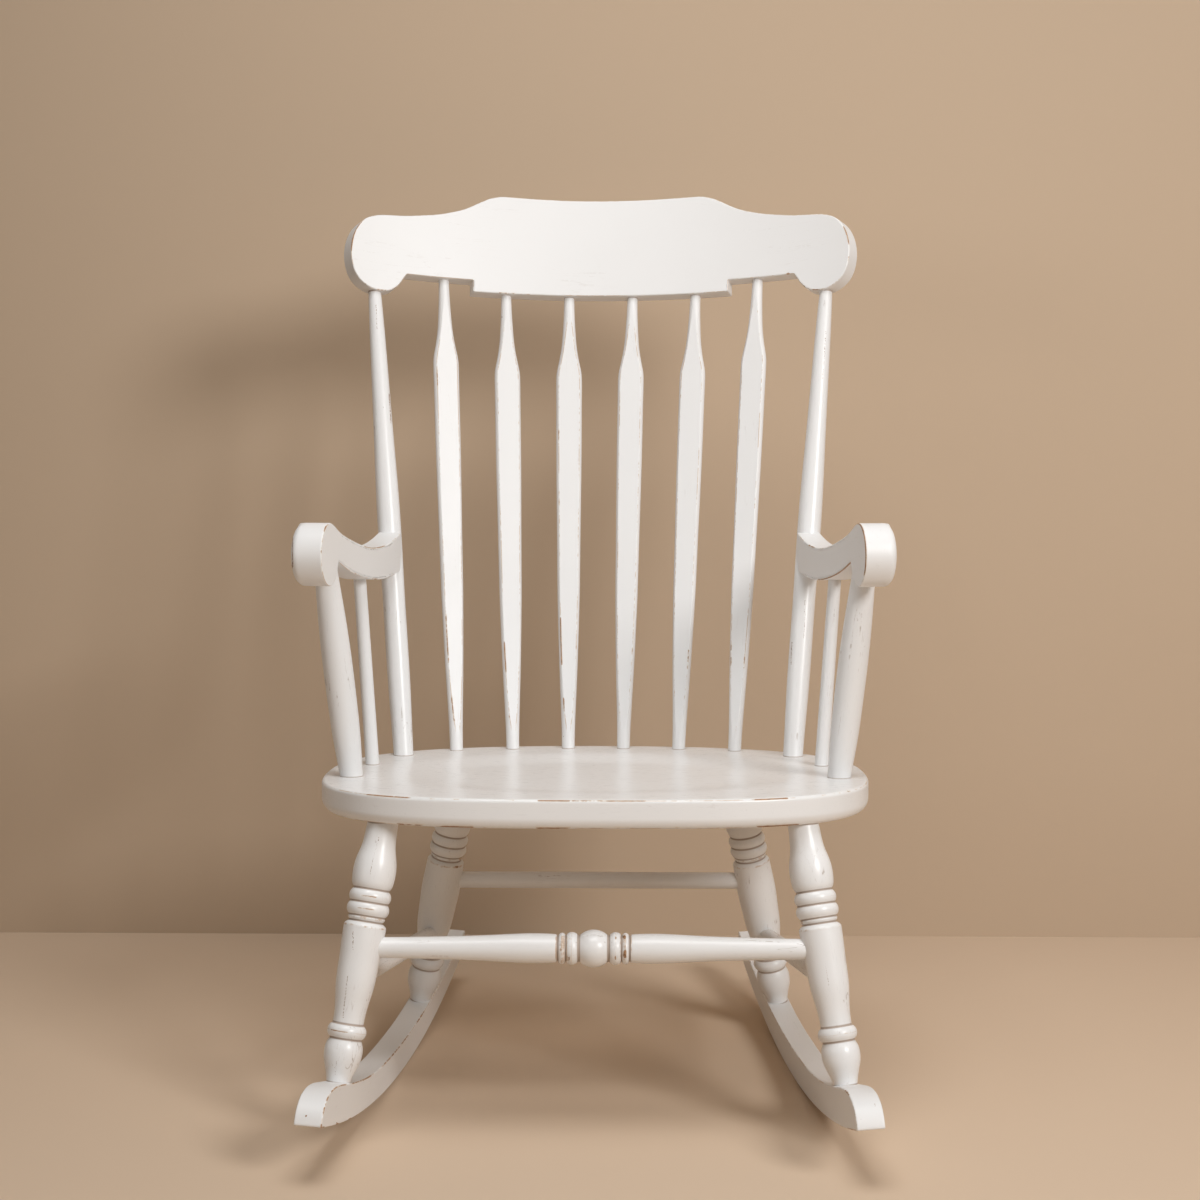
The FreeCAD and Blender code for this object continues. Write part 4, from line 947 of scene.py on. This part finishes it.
for index in range(6):
    place = index - 2.5
    foot_x = place * spindle_foot_spacing + spindle_foot_shift
    foot = seat_top_point(foot_x, back_foot_y - back_bend_radius * (1 - math.cos(foot_x / back_bend_radius)))
    top_arc = place * spindle_top_spacing
    top_turn = top_arc / back_bend_radius
    stepped = abs(top_arc) > crest_step_share * crest_half_length
    top = bent_point(top_arc, crest_low + (crest_step_shares[0][1] * crest_height if stepped else 0))
    wide_way = Vector(np.array((math.cos(top_turn), -math.sin(top_turn), 0)) @ np.array(back_axes))
    rows, off_corner, axes = arrow_spindle(foot, top, wide_way)
    world = carried(rows, foot, axes)
    # Near the seat and the crest each spindle is darkened by dust and painted contact shade, through its
    # groove distance.
    joint = np.minimum(over_seat(world), (top - foot).length - rows[..., 0])
    stick_form = (world, rows, off_corner, joint, board_paint)
    shift = 41 + 3.7 * index
    stick = wooden_piece("arrow_stick_" + str(index + 1), *stick_form, shift, False, spindle_marks[index])
    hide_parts("arrow_spindle_" + str(index + 1))

# Arms. Each is sawn from one plank to an S, rolled over in front to a scroll, and tapered in width to the
# back post, where it is coped round the post and screwed from behind. The scroll's outer end is rounded.
arm_front = Vector((0.3059, -0.1765, 0.581))
arm_roll_diameter = 0.0683
arm_front_thickness = 0.036
arm_rear_height = 0.598
arm_feather = 0.004
arm_roll_top = math.radians(84)
arm_roll_cusp = math.radians(-17)
arm_roll_round = 0.009
arm_roll_fade = (math.radians(105), math.radians(35))
arm_top_shares = (
    (0.184, 0.878), (0.302, 0.711), (0.426, 0.586), (0.553, 0.489), (0.66, 0.454), (0.757, 0.457),
    (0.857, 0.503), (0.959, 0.60), (1.0, 0.65),
)
arm_under_shares = (
    (0.299, 0.19), (0.421, 0.056), (0.549, -0.047), (0.684, -0.11), (0.824, -0.117), (0.9256, -0.079),
    (1.0, -0.045),
)
arm_spine_shares = (
    (0.09, 0.5), (0.17, 0.53), (0.3, 0.45), (0.42, 0.32), (0.55, 0.221), (0.68, 0.17), (0.82, 0.18),
    (0.93, 0.24), (1.0, 0.3),
)
arm_marks = {
    "left": (
        (327.5, 527, 324.5, 548, 0.8), (324, 552, 326.5, 572, 0.85), (330, 577, 337, 580, 0.8),
        (366, 547, 384, 547, 0.7), (354, 569, 377, 577.5, 0.75), (292.5, 535, 292.5, 568, 1.3),
    ),
    "right": (
        (862, 527, 865.5, 546, 0.95), (865.5, 546, 865, 558, 0.95), (865, 558, 863, 572, 0.9),
        (852, 562, 833, 578, 0.8), (833, 578, 820, 579, 0.75), (806, 548, 831, 540, 0.65),
        (898, 537, 898, 537, 1.25), (893, 584, 893, 584, 1.25),
    ),
}
post_share = (arm_rear_height - post_foot.z) / (post_top.z - post_foot.z)
post_at_arm = post_foot + (post_top - post_foot) * post_share
arm_run = Vector((post_at_arm.x - arm_front.x, post_at_arm.y - arm_front.y, 0))
arm_length = arm_run.length
arm_way = arm_run.normalized()
arm_axes = (tuple(arm_way), (arm_way.y, -arm_way.x, 0), (0, 0, 1))
roll = arm_roll_diameter / 2


def on_roll(turn):
    return np.stack([roll + roll * np.cos(turn), roll + roll * np.sin(turn)], axis=1)


roll_line = on_roll(np.linspace(arm_roll_top, arm_roll_cusp + 2 * math.pi, 240))
lead_in = on_roll(arm_roll_top + np.radians((24, 12, 0)))
arm_scale = np.array((arm_length, arm_roll_diameter))
arm_top = smooth_through(np.vstack([lead_in, np.array(arm_top_shares) * arm_scale]), 500)
arm_under = smooth_through(np.vstack([roll_line[-1:], np.array(arm_under_shares) * arm_scale]), 400)
arm_cut = arm_length - arm_feather
arm_top = arm_top[(arm_top[:, 0] > lead_in[-1, 0] + 0.0002) & (arm_top[:, 0] < arm_cut)]
arm_under = arm_under[arm_under[:, 0] < arm_cut]
arm_outline = np.vstack([roll_line, arm_under[1:], arm_top[::-1]])
arm_line, arm_spine = with_spine(arm_outline, 0.008, (roll, arm_cut - 0.015), arm_spine_shares, arm_scale)


def arm_half(flat):
    """Half the arm's width, even from the front to the post."""
    share = np.clip(flat[..., 0] / arm_cut, 0, 1)
    return arm_front_thickness / 2 + (post_arm_diameter - arm_front_thickness) / 2 * share


def rounded_roll(flat, through):
    """The outline drawn in towards the roll's middle near its outer face, as a quarter circle in plan. That
    fades out where the roll goes over into the arm."""
    off_middle = flat - roll
    off_front = math.pi - np.abs(np.arctan2(off_middle[..., 1], off_middle[..., 0]))
    fade = np.clip((arm_roll_fade[0] - off_front) / arm_roll_fade[1], 0, 1)
    inside = np.clip(arm_half(flat) - through, 0, arm_roll_round)
    pull = arm_roll_round - np.sqrt(arm_roll_round**2 - (arm_roll_round - inside) ** 2)
    return roll + off_middle * (1 - fade * fade * (3 - 2 * fade) * pull / roll)[..., None]


arm_flat, arm_through, arm_arris = sawn_board(arm_line, arm_spine, arm_half, arris_round, 10)
arm_flat = rounded_roll(arm_flat, arm_through)
arm_grid = np.stack([arm_flat[..., 0], arm_through, arm_flat[..., 1]], axis=-1)
arm_world = carried(arm_grid, arm_front, arm_axes)
arm_form = (arm_world, arm_grid, arm_arris, far_off, board_paint)
for label, mirror in sides:
    arm = wooden_piece("scrolled_arm_" + label, *arm_form, 61 + 5.1 * mirror, mirror, arm_marks[label])
    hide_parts("arm_" + label)

# Arm posts and arm spindles. A barrel-shaped stick carries each arm behind its scroll, and a thin tapered
# one stands between it and the back post. Both are tenoned into the seat below and the arm above.
arm_stick_offset = 0.0024
arm_post_foot_place = (0.273, -0.0755)
arm_post_arm_share = 0.232
arm_post_height_share = 0.26
arm_post_diameter = 0.0328
arm_post_foot_diameter = 0.0259
arm_post_top_diameter = 0.0256
arm_post_tenon = (0.016, 0.020)
arm_post_swell_shares = (
    (0.05, 0.82), (0.12, 0.885), (0.20, 0.945), (0.30, 0.98), (0.40, 0.995), (0.50, 1.0), (0.60, 0.99),
    (0.70, 0.955), (0.80, 0.90), (0.90, 0.83),
)
arm_spindle_foot_place = (0.2626, 0.0252)
arm_spindle_arm_share = 0.623
arm_post_run_on = 0.008
arm_spindle_foot_diameter = 0.016
arm_spindle_top_diameter = 0.0148
arm_spindle_tenons = (0.022, 0.020)


def arm_point(share, height_share):
    """A point in the right arm, where its sticks enter, a little outside the middle."""
    outside = Vector(arm_axes[1]) * arm_stick_offset
    height = Vector((0, 0, height_share * arm_roll_diameter))
    return arm_front + arm_way * (share * arm_length) + outside + height


arm_post_foot = seat_top_point(*arm_post_foot_place)
arm_post_top = arm_point(arm_post_arm_share, arm_post_height_share)
arm_post_length = (arm_post_top - arm_post_foot).length
stations = [(-arm_post_tenon[1], arm_post_tenon[0] / 2)]
stations += [(at, arm_post_foot_diameter / 2) for at in (-stick_run_on, 0.0)]
stations += [(share * arm_post_length, wide * arm_post_diameter / 2) for share, wide in arm_post_swell_shares]
stations += [(arm_post_length + at, arm_post_top_diameter / 2) for at in (0.0, arm_post_run_on)]
stations += [(arm_post_length + arm_post_tenon[1], arm_post_tenon[0] / 2)]
arm_post_rows = flowing_stick(stations)
arm_post_world = carried(arm_post_rows, arm_post_foot, stick_axes(arm_post_foot, arm_post_top))
arm_spindle_foot = seat_top_point(*arm_spindle_foot_place)
arm_spindle_top = arm_point(arm_spindle_arm_share, arm_under_shares[3][1])
arm_spindle_length = (arm_spindle_top - arm_spindle_foot).length
into_seat, into_arm = arm_spindle_tenons
stations = [(at, arm_spindle_foot_diameter / 2, 0) for at in (-into_seat, 0)]
stations += [(arm_spindle_length + at, arm_spindle_top_diameter / 2, 0) for at in (0, into_arm)]
arm_spindle_rows = turned(stations, 0.0004, 48)[0]
arm_spindle_world = carried(arm_spindle_rows, arm_spindle_foot, stick_axes(arm_spindle_foot, arm_spindle_top))
arm_sticks = (
    ("turned_arm_post_", "arm_post_", arm_post_rows, arm_post_world, 71),
    ("thin_arm_stick_", "arm_spindle_", arm_spindle_rows, arm_spindle_world, 83),
)
for label, mirror in sides:
    for name, node, rows, world, shift in arm_sticks:
        # Near the seat each stick is darkened by dust and painted contact shade, through its groove distance.
        stick_form = (world, rows, far_off, over_seat(world), turned_paint)
        stick = wooden_piece(name + label, *stick_form, shift + 6 * mirror, mirror)
        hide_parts(node + label)

# Dowels. Each post is locked in the crest by a dowel from behind, and each foot in its runner by one
# from outside. They are cut flush, and only a faint ring shows through the paint.
crest_pin = (0.005, 0.019)
crest_pin_depth = 0.014
rocker_pin = (0.006, 0.024)
rocker_pin_depth = 0.011
post_way = (post_top - post_foot).normalized()
post_turn = post_top_share * crest_half_length / back_bend_radius
ear_way = Vector(np.array((-math.sin(post_turn), -math.cos(post_turn), 0)) @ np.array(back_axes))
rocker_way = rocker_turn @ Vector((-1, 0, 0))
socket = post_top + post_way * crest_pin_depth
dowels = [("crest_pins", "", crest_pin, socket, ear_way, crest_thickness)]
for row, (top, foot) in leg_ends.items():
    socket = foot + (foot - top).normalized() * rocker_pin_depth
    dowels.append(("rocker_pins", row + "_", rocker_pin, socket, rocker_way, rocker_thickness))
for node, row, (diameter, length), middle, way, thickness in dowels:
    start = middle - way * (thickness / 2)
    rows = turned([(0.0, diameter / 2, 0), (length, diameter / 2, 0)], 0.0002, 32)[0]
    world = carried(rows, start, stick_axes(start, start + way))
    ring_line = np.hypot(rows[..., 0], diameter / 2 - np.hypot(rows[..., 1], rows[..., 2]))
    pin_form = (world, rows, far_off, ring_line, board_paint)
    for label, mirror in sides:
        shift = 97 + 40 * diameter * mirror
        pin = wooden_piece(node[:-1] + "_" + row + label, *pin_form, shift, mirror)
        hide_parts(node)

# Arm screws. One slotted countersunk steel screw from behind each post, dulled by age.
steel = bpy.data.materials.new("dull_steel")
steel.use_nodes = True
place = Brush(steel.node_tree).node("ShaderNodeTexCoord", None, None, 3)
tarnish = place.noise(900.0, 3.0)
shader = steel.node_tree.nodes["Principled BSDF"]
dulled = tarnish.blend((0.30, 0.26, 0.22, 1), (0.52, 0.50, 0.47, 1))
steel.node_tree.links.new(dulled.socket, shader.inputs["Base Color"])
steel.node_tree.links.new(tarnish.ramp(0.3, 0.7, 0.55, 0.38).socket, shader.inputs["Roughness"])
shader.inputs["Metallic"].default_value = 1.0
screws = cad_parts["arm_screws"]
for holder in screws.material_slots:
    holder.material = steel

# Floor and wall. A plain pale floor, and a plain wall of the same warm beige behind the chair. Seen from
# their other side they are clear, so that the chair's back shows.
wall_y = 0.647
stage_reach = 4
for name, colour, corners in (
    ("studio_floor", (0.66, 0.51, 0.375, 1), ((-1, -1, 0), (1, -1, 0), (1, 1, 0), (-1, 1, 0))),
    ("studio_wall", (0.55, 0.42, 0.30, 1), ((-1, 0, 0), (1, 0, 0), (1, 0, 1), (-1, 0, 1))),
):
    mesh = bpy.data.meshes.new(name)
    shift = np.array((0, wall_y if name == "studio_wall" else 0, 0))
    mesh.from_pydata((np.array(corners) * stage_reach + shift).tolist(), [], [(0, 1, 2, 3)])
    sheet = bpy.data.objects.new(name, mesh)
    bpy.context.scene.collection.objects.link(sheet)
    plaster = bpy.data.materials.new(name + "_plaster")
    plaster.use_nodes = True
    shader = plaster.node_tree.nodes["Principled BSDF"]
    shader.inputs["Base Color"].default_value = colour
    shader.inputs["Roughness"].default_value = 0.9
    front = Brush(plaster.node_tree, shader.outputs[0])
    other_side = front.node("ShaderNodeNewGeometry", None, None, 6)
    clear = front.node("ShaderNodeBsdfTransparent")
    both = front.node("ShaderNodeMixShader", None, {0: other_side, 1: front, 2: clear})
    plaster.node_tree.links.new(both.socket, plaster.node_tree.nodes["Material Output"].inputs["Surface"])
    mesh.materials.append(plaster)

# Light. One middle-sized soft lamp in front on the right makes nearly all of it. A broad one overhead, a
# narrow one from the left that misses the wall's shadow, and an even warm room fill the rest a little.
for name, spot, aim, size, spread, power in (
    ("key_lamp", (1.95, -2.4, 1.94), (0, 0, 0.5), 1.05, 180, 62),
    ("top_lamp", (0.0, -0.9, 2.8), (0, -0.1, 0.4), 1.6, 120, 15),
    ("fill_lamp", (-1.9, -1.9, 1.2), (0.35, 0.1, 0.70), 1.0, 40, 0.45),
):
    lamp = bpy.data.lights.new(name, "AREA")
    lamp.shape = "DISK"
    lamp.size = size
    lamp.spread = math.radians(spread)
    lamp.energy = power
    lamp_object = bpy.data.objects.new(name, lamp)
    lamp_object.location = spot
    lamp_object.rotation_euler = (Vector(aim) - Vector(spot)).to_track_quat("-Z", "Y").to_euler()
    bpy.context.scene.collection.objects.link(lamp_object)
world = bpy.data.worlds.new("room")
world.use_nodes = True
world.node_tree.nodes["Background"].inputs["Color"].default_value = (1.0, 0.90, 0.78, 1)
world.node_tree.nodes["Background"].inputs["Strength"].default_value = 0.13
bpy.context.scene.world = world
bpy.context.scene.view_settings.view_transform = "Standard"

# Camera. At the photograph's place: a long lens at chest height, looking slightly down.
camera = bpy.data.cameras.new("camera")
camera.lens = viewer_lens
camera.sensor_width = viewer_film
viewer = bpy.data.objects.new("camera", camera)
viewer.location = viewer_place
viewer.rotation_euler = (viewer_tilt, 0, viewer_turn)
bpy.context.scene.collection.objects.link(viewer)
bpy.context.scene.camera = viewer
